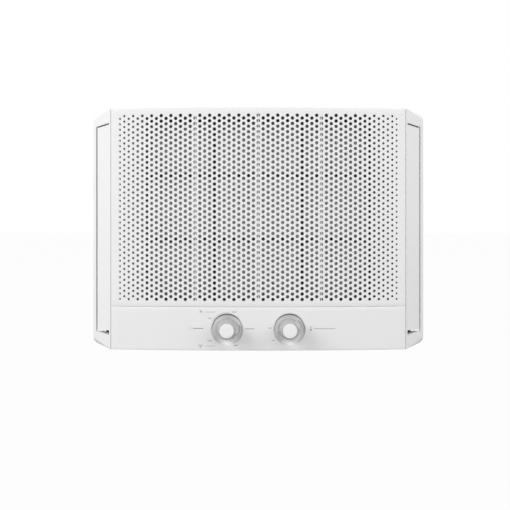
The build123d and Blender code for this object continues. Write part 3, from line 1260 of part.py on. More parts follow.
# ---- refrigerant pipes, as one loop: compressor, condenser, drier, evaporator, accumulator ----
pipe_lane = HALF_CABINET - SHEET - 16.0
condenser_end_z = coil_end_z["condenser"]
condenser_front_bank = CONDENSER_Y + CONDENSER_DEPTH / 4
condenser_rear_bank = CONDENSER_Y + CONDENSER_DEPTH * 3 / 4
drier_z = 56.0
drier_front = compressor_y + 20
drier_length = 70.0
discharge_pipe = pipe(
    [
        (COMPRESSOR_X, compressor_y, shell_top),
        (COMPRESSOR_X, compressor_y, shell_top + 60),
        (pipe_lane, compressor_y, shell_top + 60),
        (pipe_lane, condenser_front_bank, shell_top + 60),
        (pipe_lane, condenser_front_bank, condenser_end_z),
        (CONDENSER_WIDTH / 2, condenser_front_bank, condenser_end_z),
    ],
    PIPE_RADIUS,
    12,
)
discharge_pipe.label = "discharge_pipe"
export_step(discharge_pipe, "parts/discharge_pipe.step")

liquid_pipe = pipe(
    [
        (CONDENSER_WIDTH / 2, condenser_rear_bank, condenser_end_z),
        (pipe_lane, condenser_rear_bank, condenser_end_z),
        (pipe_lane, condenser_rear_bank, drier_z),
        (pipe_lane, drier_front + drier_length, drier_z),
    ],
    PIPE_RADIUS,
    12,
)
liquid_pipe.label = "liquid_pipe"
export_step(liquid_pipe, "parts/liquid_pipe.step")

with BuildPart() as filter_drier:
    with BuildSketch(Plane(origin=(pipe_lane, drier_front, drier_z), x_dir=(1, 0, 0), z_dir=(0, 0, 1))):
        with BuildLine():
            Polyline(
                (0, 0),
                (3.2, 0),
                (3.2, 6),
                (9.5, 16),
                (9.5, drier_length - 14),
                (PIPE_RADIUS + 1, drier_length - 6),
                (PIPE_RADIUS + 1, drier_length),
                (0, drier_length),
                close=True,
            )
        make_face()
    revolve(axis=Axis((pipe_lane, drier_front, drier_z), (0, 1, 0)))
filter_drier.part.label = "filter_drier"
export_step(filter_drier.part, "parts/filter_drier.step")

capillary_y = BULKHEAD_Y + SHEET + 12
capillary_tube = pipe(
    [
        (pipe_lane, drier_front, drier_z),
        (pipe_lane, capillary_y, drier_z),
        (pipe_lane, capillary_y, capillary_z),
        (pipe_x, capillary_y, capillary_z),
        (pipe_x, EVAPORATOR_Y + EVAPORATOR_DEPTH / 4, capillary_z),
        (pipe_x, EVAPORATOR_Y + EVAPORATOR_DEPTH / 4, end_z),
        (EVAPORATOR_WIDTH / 2, EVAPORATOR_Y + EVAPORATOR_DEPTH / 4, end_z),
    ],
    CAPILLARY_RADIUS,
    5,
)
capillary_tube.label = "capillary_tube"
export_step(capillary_tube, "parts/capillary_tube.step")

suction_pipe = pipe(
    [
        (EVAPORATOR_WIDTH / 2, EVAPORATOR_Y + EVAPORATOR_DEPTH * 3 / 4, end_z),
        (pipe_x, EVAPORATOR_Y + EVAPORATOR_DEPTH * 3 / 4, end_z),
        (accumulator_x, accumulator_y, end_z),
        (accumulator_x, accumulator_y, accumulator_top),
    ],
    PIPE_RADIUS,
    9,
)
suction_pipe.label = "suction_pipe"
export_step(suction_pipe, "parts/suction_pipe.step")
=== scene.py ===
"""A window air conditioner: its finishes, printed marks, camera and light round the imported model.

Metres, Z up, the front faces -Y. Shapes are written in millimetres and scaled once, by MM.
"""

import math

import bmesh
import bpy
import numpy as np
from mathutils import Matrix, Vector


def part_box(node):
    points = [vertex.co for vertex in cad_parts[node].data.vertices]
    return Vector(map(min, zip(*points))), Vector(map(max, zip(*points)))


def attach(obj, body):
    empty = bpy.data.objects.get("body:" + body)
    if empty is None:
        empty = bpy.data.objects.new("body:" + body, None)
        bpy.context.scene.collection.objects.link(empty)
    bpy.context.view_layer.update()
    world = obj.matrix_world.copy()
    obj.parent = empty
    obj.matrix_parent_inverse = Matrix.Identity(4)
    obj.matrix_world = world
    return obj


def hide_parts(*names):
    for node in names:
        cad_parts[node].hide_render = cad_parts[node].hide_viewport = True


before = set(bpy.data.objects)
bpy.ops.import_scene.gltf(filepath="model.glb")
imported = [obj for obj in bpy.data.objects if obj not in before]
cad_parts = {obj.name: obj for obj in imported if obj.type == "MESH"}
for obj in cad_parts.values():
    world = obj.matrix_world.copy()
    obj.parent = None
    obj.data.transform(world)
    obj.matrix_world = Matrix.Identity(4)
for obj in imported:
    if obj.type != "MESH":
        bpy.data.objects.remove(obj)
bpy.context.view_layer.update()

MM = 0.001

# ---- the bowed front ----
COVER_HALF = 237.5 * MM
BOW_RISE = 14.0 * MM
BOW_RADIUS = (COVER_HALF**2 + BOW_RISE**2) / (2 * BOW_RISE)
WALL = 2.4 * MM
EDGE_ROUND = 0.5 * MM
COVER_GAP = 0.3 * MM            # between the cover and the control panel

# ---- perforation ----
HOLE_DIAMETER = 5.6 * MM
ROW_PITCH = 8.76 * MM
COLUMN_PITCH = 7.76 * MM
EDGE_ZONE = 82.5 * MM
PITCH_FALL = 0.0104
DIAMETER_FALL = 0.033
HOLE_TOP_MARGIN = 12.6 * MM
HOLE_BOTTOM_MARGIN = 11.2 * MM
HOLE_SIDE_MARGIN = 14.5 * MM
HOLE_LIP = 0.3 * MM
HOLE_SIDES = 12
RIB_SPACING = 100.7 * MM
RIB_HALF = 0.9 * MM
RIB_DEPTH = 6.0 * MM

# ---- dish round each knob ----
DISH_RADIUS = 25.2 * MM
DISH_DEPTH = 7.0 * MM
DISH_CORNER = 6.0 * MM
DISH_LIP = 0.7 * MM
DISH_STEPS = 96
SHAFT_HOLE = 5.2 * MM
PATCH_HALF = 34.0 * MM          # half the width of the patch round each dish

# ---- air path ----
FIN_PITCH = 2.0 * MM
FIN_HALF = 0.08 * MM
FIN_WAVE = 0.35 * MM
NET_PITCH = 1.5 * MM
NET_STRAND = 0.8 * MM
NET_LAYER = 0.28 * MM

# ---- meshing ----
SAME_POINT = 2e-6               # points closer than this are one
ON_BORDER = 1e-7                # a point this close to a border lies on it
SHARP_EDGE = 35.0               # degrees

# ---- camera and light ----
EYE_DISTANCE = 1.3
EYE_HEIGHT = 0.1935
FRAME_ASIDE = -0.0065           # the frame's shifts, as shares of its width
FRAME_BELOW = -0.0512
SURROUND_LIGHT = 0.72
FLOOR_WHITE = 0.97              # share of white that the camera sees on the floor


def extent(node):
    """Lowest and highest corner of a CAD node, as arrays."""
    low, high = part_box(node)
    return np.array(low), np.array(high)


FRONT_Y = extent("control_panel")[0][1]


def bow(x, depth=0.0):
    """The bowed front: a circle's arc in plan, y = front + R - sqrt(R^2 - x^2), plus a depth behind it."""
    return FRONT_Y + BOW_RADIUS - np.sqrt(BOW_RADIUS**2 - np.square(x)) + depth


def knob_centre(name):
    """Middle of a knob where its axis meets the bow, from the knob's own box."""
    low, high = extent(f"{name}_knob")
    middle = (low + high) / 2
    return np.array([middle[0], float(bow(middle[0])), middle[2]])


# ---- finishes ----
class Socket:
    """A node's output. Arithmetic on it adds Math nodes to the same finish."""

    def __init__(self, finish, link):
        self.finish = finish
        self.link = link

    def math(self, operation, first, second):
        return self.finish.node("ShaderNodeMath", {"operation": operation}, {0: first, 1: second})

    def __add__(self, other):
        return self.math("ADD", self, other)

    def __sub__(self, other):
        return self.math("SUBTRACT", self, other)

    def __rsub__(self, other):
        return self.math("SUBTRACT", other, self)

    def __mul__(self, other):
        return self.math("MULTIPLY", self, other)

    def __pow__(self, other):
        return self.math("POWER", self, other)

    def __lt__(self, other):
        return self.math("LESS_THAN", self, other)

    def clamped(self):
        return self.math("MINIMUM", self.math("MAXIMUM", self, 0.0), 1.0)

    __radd__ = __add__
    __rmul__ = __mul__


class Finish:
    """A procedural material, or the nodes of a world given as holder. Every node comes from node()."""

    def __init__(self, name, slot=None, holder=None):
        self.slot = slot
        self.material = holder or bpy.data.materials.new(name)
        self.material.use_nodes = True
        self.tree = self.material.node_tree
        self.tree.nodes.clear()
        self.place = self.node("ShaderNodeTexCoord", output="Object")

    def node(self, kind, settings=None, inputs=None, output=0):
        """Adds a node of a type: its settings first, then the values or links of its sockets."""
        added = self.tree.nodes.new(kind)
        for name, value in (settings or {}).items():
            setattr(added, name, value)
        for name, value in (inputs or {}).items():
            if isinstance(value, Socket):
                self.tree.links.new(value.link, added.inputs[name])
            else:
                added.inputs[name].default_value = value
        return Socket(self, added.outputs[output]) if added.outputs else None

    def noise(self, scale, detail=2.0, stretch=(1, 1, 1)):
        """Smooth noise between 0 and 1, with scale cells to the metre."""
        where = self.node("ShaderNodeMapping", None, {"Vector": self.place, "Scale": stretch})
        return self.node("ShaderNodeTexNoise", None, {"Vector": where, "Scale": scale, "Detail": detail})

    def cells(self, scale, output="Distance"):
        """Voronoi cells, scale of them to the metre."""
        return self.node("ShaderNodeTexVoronoi", None, {"Vector": self.place, "Scale": scale}, output)

    def mix(self, factor, first, second):
        """Blends two colours."""
        return self.node("ShaderNodeMix", {"data_type": "RGBA"}, {0: factor, 6: first, 7: second}, 2)

    def bump(self, height, depth):
        """A normal tilted by a height map whose full range is depth metres."""
        return self.node("ShaderNodeBump", None, {"Strength": 1.0, "Distance": depth, "Height": height})

    def surface(self, **inputs):
        """The shader itself. Keyword names are socket names with their spaces as underscores."""
        values = {name.replace("_", " "): value for name, value in inputs.items()}
        shader = self.node("ShaderNodeBsdfPrincipled", None, values)
        self.node("ShaderNodeOutputMaterial", None, {"Surface": shader})
        return self


def colour(grey, warmth=0.0):
    """An RGBA grey, a little warm or cool."""
    return (grey * (1 + warmth), grey, grey * (1 - warmth), 1.0)


def moulded(name, slot, grey, roughness, grain=1500.0, depth=0.02 * MM, mottle=0.03, warmth=0.0):
    """Moulded plastic: fine eroded grain, slow flow marks, and gloss that changes with both."""
    finish = Finish(name, slot)
    flow = finish.noise(7.0, 4.0)
    speck = finish.noise(grain, 2.0)
    tone = finish.mix(flow, colour(grey * (1 - mottle), warmth), colour(grey, warmth))
    return finish.surface(
        Base_Color=tone,
        Roughness=roughness - 0.1 + flow * 0.08 + speck * 0.12,
        Normal=finish.bump(speck, depth),
    )


def sheet_metal(name, slot, grey, roughness, metallic):
    """Zinc-coated sheet: flat crystals of slightly different brightness, with fine rolling lines."""
    finish = Finish(name, slot)
    crystal = finish.cells(120.0, "Color") * 1.0
    lines = finish.noise(600.0, 2.0, (1, 0.02, 1))
    tone = finish.mix(crystal, colour(grey * 0.8, -0.01), colour(grey, -0.01))
    return finish.surface(
        Base_Color=tone,
        Metallic=metallic,
        Roughness=roughness - 0.08 + crystal * 0.1 + lines * 0.06,
        Normal=finish.bump(lines, 0.01 * MM),
    )


def painted(name, slot, grey, roughness, warmth=0.0):
    """Powder coat: orange-peel bump over sheet metal, with dust that dulls it in soft patches."""
    finish = Finish(name, slot)
    peel = finish.noise(420.0, 2.0)
    dust_and_shade = finish.noise(12.0, 5.0)
    tone = finish.mix(dust_and_shade, colour(grey * 0.95, warmth), colour(grey, warmth))
    return finish.surface(
        Base_Color=tone,
        Roughness=roughness + dust_and_shade * 0.15 - 0.05,
        Normal=finish.bump(peel, 0.05 * MM),
    )


def drawn_metal(name, slot, base, roughness, line_scale=900.0, stretch=(0.03, 1, 1)):
    """Bare drawn or stamped metal: fine drawing lines and faint tarnish."""
    finish = Finish(name, slot)
    lines = finish.noise(line_scale, 2.0, stretch)
    tarnish = finish.noise(45.0, 4.0)
    darker = tuple(part * 0.72 for part in base[:3]) + (1.0,)
    return finish.surface(
        Base_Color=finish.mix(tarnish, darker, base),
        Metallic=1.0,
        Roughness=roughness + tarnish * 0.12 + lines * 0.06,
        Normal=finish.bump(lines, 0.01 * MM),
    )


def foam(name, slot, grey, pores, depth):
    """Foam: open pores as pits in a rough skin, their centres darkened in the colour as painted shade."""
    finish = Finish(name, slot)
    pit = finish.cells(pores)
    patch = finish.noise(30.0, 3.0)
    # painted shade: each pore's centre is darker in colour, standing in for the shade inside the pit
    return finish.surface(
        Base_Color=finish.mix(pit, colour(grey * 0.6), colour(grey)),
        Roughness=0.86 + patch * 0.1,
        Normal=finish.bump(pit, depth),
    )


def edge_shaded_net(name, slot):
    """Filter net: pale in the middle and greyer toward its borders as painted shade, with soft random dust
    mottling over it.
    """
    finish = Finish(name, slot)
    axes = [finish.node("ShaderNodeSeparateXYZ", None, {"Vector": finish.place}, axis) for axis in ("X", "Z")]
    x, z = axes[0] * (1 / 0.21), (axes[1] - 0.22) * (1 / 0.155)
    # painted shade: x**6 + z**6 darkens the net toward its four borders; the noise term adds random dust
    # mottling
    dust_and_shade = x**6 + z**6 + finish.noise(25.0, 4.0) * 0.3
    return finish.surface(
        Base_Color=finish.mix(dust_and_shade, colour(0.95), colour(0.32)),
        Roughness=0.7 - dust_and_shade * 0.1,
        Normal=finish.bump(finish.noise(4000.0), 0.01 * MM),
    )


def dished_panel(name, slot, grey):
    """The fascia's plastic, polished and whiter inside the two dishes, with a painted shade: a dark crescent
    in the colour under the upper part of their lips.
    """
    finish = Finish(name, slot)
    flow = finish.noise(7.0, 4.0)
    speck = finish.noise(1500.0, 2.0)
    axes = [finish.node("ShaderNodeSeparateXYZ", None, {"Vector": finish.place}, axis) for axis in ("X", "Z")]
    middle = knob_centre("temperature")
    across = axes[0].math("ABSOLUTE", axes[0], 0.0) - middle[0]
    above = axes[1] - middle[2]
    radius = (across**2 + above**2) ** 0.5
    inside = DISH_RADIUS - 0.4 * MM > radius
    # painted shade: a thin band just inside each dish's lip, weighted toward its upper part, stands in for
    # the shade under the lip
    lip_shade_band = (1 - ((radius - DISH_RADIUS + 1.3 * MM) * (1 / (1.3 * MM))) ** 2).clamped()
    upper = (above * (0.8 / DISH_RADIUS) + 0.3).clamped()
    tone = finish.mix(flow, colour(grey * 0.97), colour(grey))
    tone = finish.mix(inside, tone, colour(0.96))
    # the colour goes nearly black in that band: a painted shade, not a cast one
    return finish.surface(
        Base_Color=finish.mix(lip_shade_band * upper * 0.95, tone, colour(0.05)),
        Roughness=0.36 + flow * 0.08 + speck * 0.12 - inside * 0.12,
        Normal=finish.bump(speck, 0.02 * MM),
    )


fascia_white = moulded("fascia_white", "fascia_white", 0.86, 0.46)
panel_white = dished_panel("panel_white", "fascia_white", 0.86)
knob_satin = moulded("knob_satin", "knob_white", 0.46, 0.34, grain=2600.0, depth=0.006 * MM, mottle=0.05)
knob_white = moulded("knob_white", "knob_white", 0.9, 0.3, grain=2600.0, depth=0.006 * MM, mottle=0.015)
pointer_grey = moulded("pointer_grey", "pointer_grey", 0.56, 0.4, depth=0.01 * MM)
filter_grey = moulded("filter_grey", "filter_grey", 0.05, 0.5)
net_grey = edge_shaded_net("net_grey", "filter_net")
guide_grey = moulded("guide_grey", "guide_grey", 0.5, 0.5)
inner_dark = moulded("inner_dark", "inner_plastic", 0.06, 0.55)
fan_dark = moulded("fan_dark", "fan_plastic", 0.05, 0.45)
switch_dark = moulded("switch_dark", "switch_plastic", 0.03, 0.45)
foam_white = foam("foam_white", "foam_white", 0.75, 700.0, 0.15 * MM)
seal_foam = foam("seal_foam", "seal_foam", 0.06, 1100.0, 0.2 * MM)
cabinet_paint = painted("cabinet_paint", "cabinet_paint", 0.56, 0.5)
compressor_enamel = painted("compressor_enamel", "compressor_black", 0.02, 0.25)
zinc = sheet_metal("zinc", "zinc_sheet", 0.6, 0.42, 0.9)
screw_steel = drawn_metal("screw_steel", "screw_steel", colour(0.52, -0.02), 0.26)
fin_aluminium = drawn_metal("fin_aluminium", "fin_aluminium", colour(0.74, -0.01), 0.4, 500.0, (1, 1, 0.05))
copper = drawn_metal("copper", "copper", (0.78, 0.36, 0.2, 1.0), 0.24)
rubber = moulded("rubber", "rubber_black", 0.018, 0.7, grain=900.0, depth=0.03 * MM)
print_ink = moulded("print_ink", "pointer_grey", 0.3, 0.6, grain=3000.0, depth=0.002 * MM, mottle=0.2)
print_pale = moulded("print_pale", "pointer_grey", 0.46, 0.6, grain=3000.0, depth=0.002 * MM, mottle=0.15)

NODE_FINISHES = {
    fascia_white: ("front_bezel", "intake_grille", "left_vane", "right_vane"),
    panel_white: ("control_panel",),
    knob_white: ("mode_knob", "mode_knob_cap", "temperature_knob", "temperature_knob_cap"),
    pointer_grey: ("mode_knob_pointer", "temperature_knob_pointer", "cable_gland"),
    filter_grey: ("filter_frame",),
    net_grey: ("filter_mesh",),
    guide_grey: ("filter_guide",),
    inner_dark: ("inlet_plate", "drip_tray"),
    fan_dark: ("blower_wheel", "condenser_fan", "condenser_shroud", "drain_spout"),
    switch_dark: ("rotary_switch", "thermostat"),
    foam_white: ("blower_scroll",),
    seal_foam: ("wall_seal",),
    cabinet_paint: ("cabinet_sleeve", "rear_guard"),
    compressor_enamel: ("compressor", "accumulator"),
    zinc: (
        "control_box",
        "base_pan",
        "base_runners",
        "bulkhead",
        "motor_bracket",
        "fan_motor",
        "capacitor_strap",
    ),
    screw_steel: (
        "mode_shaft",
        "temperature_shaft",
        "fan_shaft",
        "cabinet_screws",
        "bezel_screws",
        "guard_screws",
        "compressor_studs",
        "run_capacitor",
    ),
    fin_aluminium: ("evaporator_fins", "condenser_fins"),
    copper: (
        "evaporator_tubes",
        "condenser_tubes",
        "discharge_pipe",
        "liquid_pipe",
        "filter_drier",
        "capillary_tube",
        "suction_pipe",
    ),
    rubber: ("compressor_grommets",),
}
for finish, names in NODE_FINISHES.items():
    for name in names:
        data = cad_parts[name].data
        data.materials.clear()
        data.materials.append(finish.material)


# ---- making a piece ----
def place_piece(mesh, finish, body, stands_for=(), crease=SHARP_EDGE):
    """Puts a finished mesh into the scene: smooth but for edges sharper than crease degrees."""
    mesh.materials.clear()
    mesh.materials.append(finish.material)
    mesh.shade_smooth()
    mesh.set_sharp_from_angle(angle=math.radians(crease))
    piece = bpy.data.objects.new(mesh.name, mesh)
    bpy.context.scene.collection.objects.link(piece)
    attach(piece, body)
    if stands_for:
        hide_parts(*stands_for)
    return piece


def closed_shell(name, parts, finish, body, stands_for=(), crease=SHARP_EDGE):
    """One mesh from (points, faces) parts: doubles are merged, then its closed shells are turned outward."""
    every_point, every_face = [], []
    for points, faces in parts:
        start = len(every_point)
        every_point += np.asarray(points).tolist()
        rows = faces.tolist() if isinstance(faces, np.ndarray) else faces
        every_face += [[start + index for index in face] for face in rows]
    mesh = bpy.data.meshes.new(name)
    mesh.from_pydata(every_point, [], every_face)
    work = bmesh.new()
    work.from_mesh(mesh)
    bmesh.ops.remove_doubles(work, verts=work.verts, dist=SAME_POINT)
    bmesh.ops.recalc_face_normals(work, faces=work.faces)
    work.to_mesh(mesh)
    work.free()
    return place_piece(mesh, finish, body, stands_for, crease)


def grid_faces(rows, columns, around=False):
    """Quads of a rows x columns grid of points, joined up along its columns if it goes around."""
    last = columns if around else columns - 1
    row, column = np.meshgrid(np.arange(rows - 1), np.arange(last), indexing="ij")
    after = (column + 1) % columns
    here, below = row * columns, (row + 1) * columns
    corners = (here + column, here + after, below + after, below + column)
    return np.stack([corner.ravel() for corner in corners], axis=1)


def block(low, high):
    """The eight corners and six faces of a box between two corners."""
    low, high = np.asarray(low), np.asarray(high)
    pick = np.array([[0, 0, 0], [1, 0, 0], [1, 1, 0], [0, 1, 0], [0, 0, 1], [1, 0, 1], [1, 1, 1], [0, 1, 1]])
    sides = np.array([[0, 3, 2, 1], [4, 5, 6, 7], [0, 1, 5, 4], [1, 2, 6, 5], [2, 3, 7, 6], [3, 0, 4, 7]])
    return low + pick * (high - low), sides


def rounded_line(corners, radius, steps=4):
    """An open line whose inner corners are cut to smooth quadratic curves that start radius before them."""
    corners = np.asarray(corners, float)
    line = [corners[0]]
    share = np.linspace(0, 1, steps + 1)[:, None]
    for before, corner, after in zip(corners, corners[1:], corners[2:]):
        back, on = before - corner, after - corner
        reach = min(radius, np.linalg.norm(back) * 0.45, np.linalg.norm(on) * 0.45)
        start = corner + back / np.linalg.norm(back) * reach
        end = corner + on / np.linalg.norm(on) * reach
        line.extend((1 - share) ** 2 * start + 2 * share * (1 - share) * corner + share**2 * end)
    return np.array(line + [corners[-1]])


def turned(profile, centre, steps=96):
    """A profile of (radius, forward) carried round an axis along -Y through centre."""
    angle = np.linspace(0, 2 * math.pi, steps, endpoint=False)
    radius, forward = np.asarray(profile).T[:, :, None]
    points = np.stack(
        [
            centre[0] + radius * np.cos(angle),
            centre[1] - forward + 0 * angle,
            centre[2] + radius * np.sin(angle),
        ],
        axis=-1,
    )
    return points.reshape(-1, 3), grid_faces(len(profile), steps, around=True)


def softened(node, name, width, finish, body, bevel_angle=30.0):
    """A copy of a CAD node, its flat areas made whole, with every sharp edge rounded to width by a bevel."""
    work = bmesh.new()
    work.from_mesh(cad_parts[node].data)
    bmesh.ops.remove_doubles(work, verts=work.verts, dist=SAME_POINT)
    bmesh.ops.dissolve_limit(work, angle_limit=math.radians(0.4), verts=work.verts, edges=work.edges)
    mesh = bpy.data.meshes.new(name)
    work.to_mesh(mesh)
    work.free()
    piece = place_piece(mesh, finish, body, (node,), crease=SHARP_EDGE)
    bevel = piece.modifiers.new("soft_edges", "BEVEL")
    bevel.width = width
    bevel.segments = 2
    bevel.limit_method = "ANGLE"
    bevel.angle_limit = math.radians(bevel_angle)
    bevel.harden_normals = True
    return piece


def on_bow(flat, depth):
    """Points given as (x, z) and a depth, laid on the bowed front."""
    flat = np.asarray(flat)
    return np.stack([flat[:, 0], bow(flat[:, 0], depth), flat[:, 1]], axis=1)


def border_band(loop, low, high):
    """A quarter-round carried along a closed rectangle of (x, z) points, then straight to the back."""
    out_x = (loop[:, 0] >= high[0] - ON_BORDER) * 1.0 - (loop[:, 0] <= low[0] + ON_BORDER)
    out_z = (loop[:, 1] >= high[1] - ON_BORDER) * 1.0 - (loop[:, 1] <= low[1] + ON_BORDER)
    outward = np.stack([out_x, out_z], axis=1)
    turn = np.radians([0, 30, 60, 90])
    steps = [(EDGE_ROUND * math.sin(a), EDGE_ROUND * (1 - math.cos(a))) for a in turn]
    rings = [on_bow(loop + outward * reach, depth) for reach, depth in steps + [(EDGE_ROUND, WALL)]]
    return np.concatenate(rings), grid_faces(len(rings), len(loop), around=True)


def pushed_out(flat, low, high):
    """Moves the points on a rectangle's sides out by the width of the rounded edge."""
    moved = np.array(flat)
    for axis in (0, 1):
        moved[:, axis] += EDGE_ROUND * (moved[:, axis] >= high[axis] - ON_BORDER)
        moved[:, axis] -= EDGE_ROUND * (moved[:, axis] <= low[axis] + ON_BORDER)
    return moved


def rectangle_loop(x_low, x_high, z_low, z_high):
    """The points round a rectangle: along the bottom, up the right, back along the top, down the left."""
    bottom = [(x, z_low[0]) for x in x_low]
    right = [(x_low[-1], z) for z in z_high[1:-1]]
    top = [(x, z_low[1]) for x in reversed(x_high)]
    left = [(x_low[0], z) for z in reversed(z_high[1:-1])]
    return np.array(bottom + right + top + left)


# ---- perforated cover ----
def hole_columns():
    """Column places either side of the middle: the step between them shrinks in a zone at each edge."""
    places = [0.0]
    while True:
        step = COLUMN_PITCH - PITCH_FALL * max(0.0, places[-1] - (COVER_HALF - EDGE_ZONE))
        if places[-1] + step > COVER_HALF - HOLE_SIDE_MARGIN:
            return np.array([-x for x in reversed(places[1:])] + places)
        places.append(places[-1] + step)


def perforated_cover():
    """Front and back sheets of one lattice of cells, each cell a rectangle round a lipped hole.
    Half steps of the row pitch and of the columns make neighbouring cells meet point to point."""
    low, high = extent("intake_grille")
    bottom = extent("control_panel")[1][2] + COVER_GAP
    inner_low = np.array([low[0] + EDGE_ROUND, bottom + EDGE_ROUND])
    inner_high = np.array([high[0] - EDGE_ROUND, high[2] - EDGE_ROUND])
    centre = hole_columns()
    count = len(centre)
    middle = (centre[1:] + centre[:-1]) / 2
    left = np.concatenate([[2 * centre[0] - middle[0]], middle])
    right = np.concatenate([middle, [2 * centre[-1] - middle[-1]]])
    half = ROW_PITCH / 2
    lowered = (np.arange(count) - count // 2) % 2
    span = high[2] - bottom - HOLE_TOP_MARGIN - HOLE_BOTTOM_MARGIN
    rows = int((span - half) / ROW_PITCH) + 1
    first = high[2] - HOLE_TOP_MARGIN
    height = first - lowered[:, None] * half - np.arange(rows) * ROW_PITCH
    edge_reach = np.maximum(0.0, np.abs(centre) - (COVER_HALF - EDGE_ZONE))
    radius = (HOLE_DIAMETER - DIAMETER_FALL * edge_reach) / 2

    side_x = np.stack([right, right, centre, left, left, left, centre, right], axis=1)
    side_z = half * np.array([0, 1, 1, 1, 0, -1, -1, -1])
    angle = np.linspace(0, 2 * math.pi, HOLE_SIDES, endpoint=False)
    shape = (count, rows)

    def cell_outline():
        x = np.broadcast_to(side_x[:, None, :], shape + (8,))
        return np.stack([x, height[:, :, None] + side_z], axis=-1)

    def cell_ring(reach):
        wide = (radius[:, None] + reach) * np.cos(angle)
        tall = (radius[:, None] + reach) * np.sin(angle)
        x = np.broadcast_to((centre[:, None] + wide)[:, None, :], shape + (HOLE_SIDES,))
        return np.stack([x, height[:, :, None] + tall[:, None, :]], axis=-1)

    rings = [(cell_outline(), 0.0), (cell_ring(HOLE_LIP), 0.0), (cell_ring(0.0), HOLE_LIP)]
    rings += [(cell_ring(0.0), WALL), (cell_outline(), WALL)]
    cells = np.concatenate([flat for flat, depth in rings], axis=2)
    depth = np.concatenate([np.full(flat.shape[2], value) for flat, value in rings])
    each = cells.shape[2]
    points = on_bow(cells.reshape(-1, 2), np.tile(depth, count * rows))
    quarter = np.array([[0, 1, 9], [0, 9, 8], [1, 10, 9], [1, 2, 10], [2, 11, 10]])
    land = []
    for turn in range(4):
        outline = (quarter + 2 * turn) % 8
        ring = 8 + (quarter - 8 + 3 * turn) % HOLE_SIDES
        land.append(np.where(quarter < 8, outline, ring))
    land = np.concatenate(land)
    bore = np.arange(HOLE_SIDES)
    after = (bore + 1) % HOLE_SIDES
    walls = [np.stack([a + bore, a + after, b + after, b + bore], axis=1) for a, b in ((8, 20), (20, 32))]
    back = np.where(land < 8, land + 44, land + 24)[:, ::-1]
    shift = (np.arange(count * rows) * each)[:, None, None]
    triangles = (np.concatenate([land, back])[None] + shift).reshape(-1, 3)
    quads = (np.concatenate(walls)[None] + shift).reshape(-1, 4)
    parts = [(points, triangles.tolist() + quads.tolist())]

    x_lines = np.unique(np.round(np.concatenate([left, centre, right[-1:]]), 9))
    top_line = first + half
    z_lines = top_line - half * np.arange(2 * rows + 2)[::-1]
    x_lines = np.concatenate([[inner_low[0]], x_lines, [inner_high[0]]])
    z_lines = np.concatenate([[inner_low[1]], z_lines, [inner_high[1]]])
    grid_x, grid_z = np.meshgrid(x_lines, z_lines)
    flat = np.stack([grid_x.ravel(), grid_z.ravel()], axis=1)
    every = grid_faces(len(z_lines), len(x_lines))
    middle_of = flat[every].mean(axis=1)
    column = np.clip(np.searchsorted(right, middle_of[:, 0]), 0, count - 1)
    outside = (middle_of[:, 0] < left[0]) | (middle_of[:, 0] > right[-1])
    outside |= middle_of[:, 1] > top_line - half * lowered[column]
    outside |= middle_of[:, 1] < top_line - half * (lowered[column] + 2 * rows)
    margin = every[outside]
    parts.append((on_bow(flat, 0.0), margin))
    parts.append((on_bow(pushed_out(flat, inner_low, inner_high), WALL), margin[:, ::-1]))
    z_pair = (z_lines[0], z_lines[-1])
    loop = rectangle_loop(list(x_lines), list(x_lines), z_pair, list(z_lines))
    parts.append(border_band(loop, inner_low, inner_high))
    for x in (-RIB_SPACING, 0.0, RIB_SPACING):
        behind = float(bow(x, WALL))
        low_corner = (x - RIB_HALF, behind - 0.2 * MM, bottom + RIB_DEPTH)
        parts.append(block(low_corner, (x + RIB_HALF, behind + RIB_DEPTH, high[2] - RIB_DEPTH)))
    return closed_shell("grille_cover", parts, fascia_white, "housing", ("intake_grille",))


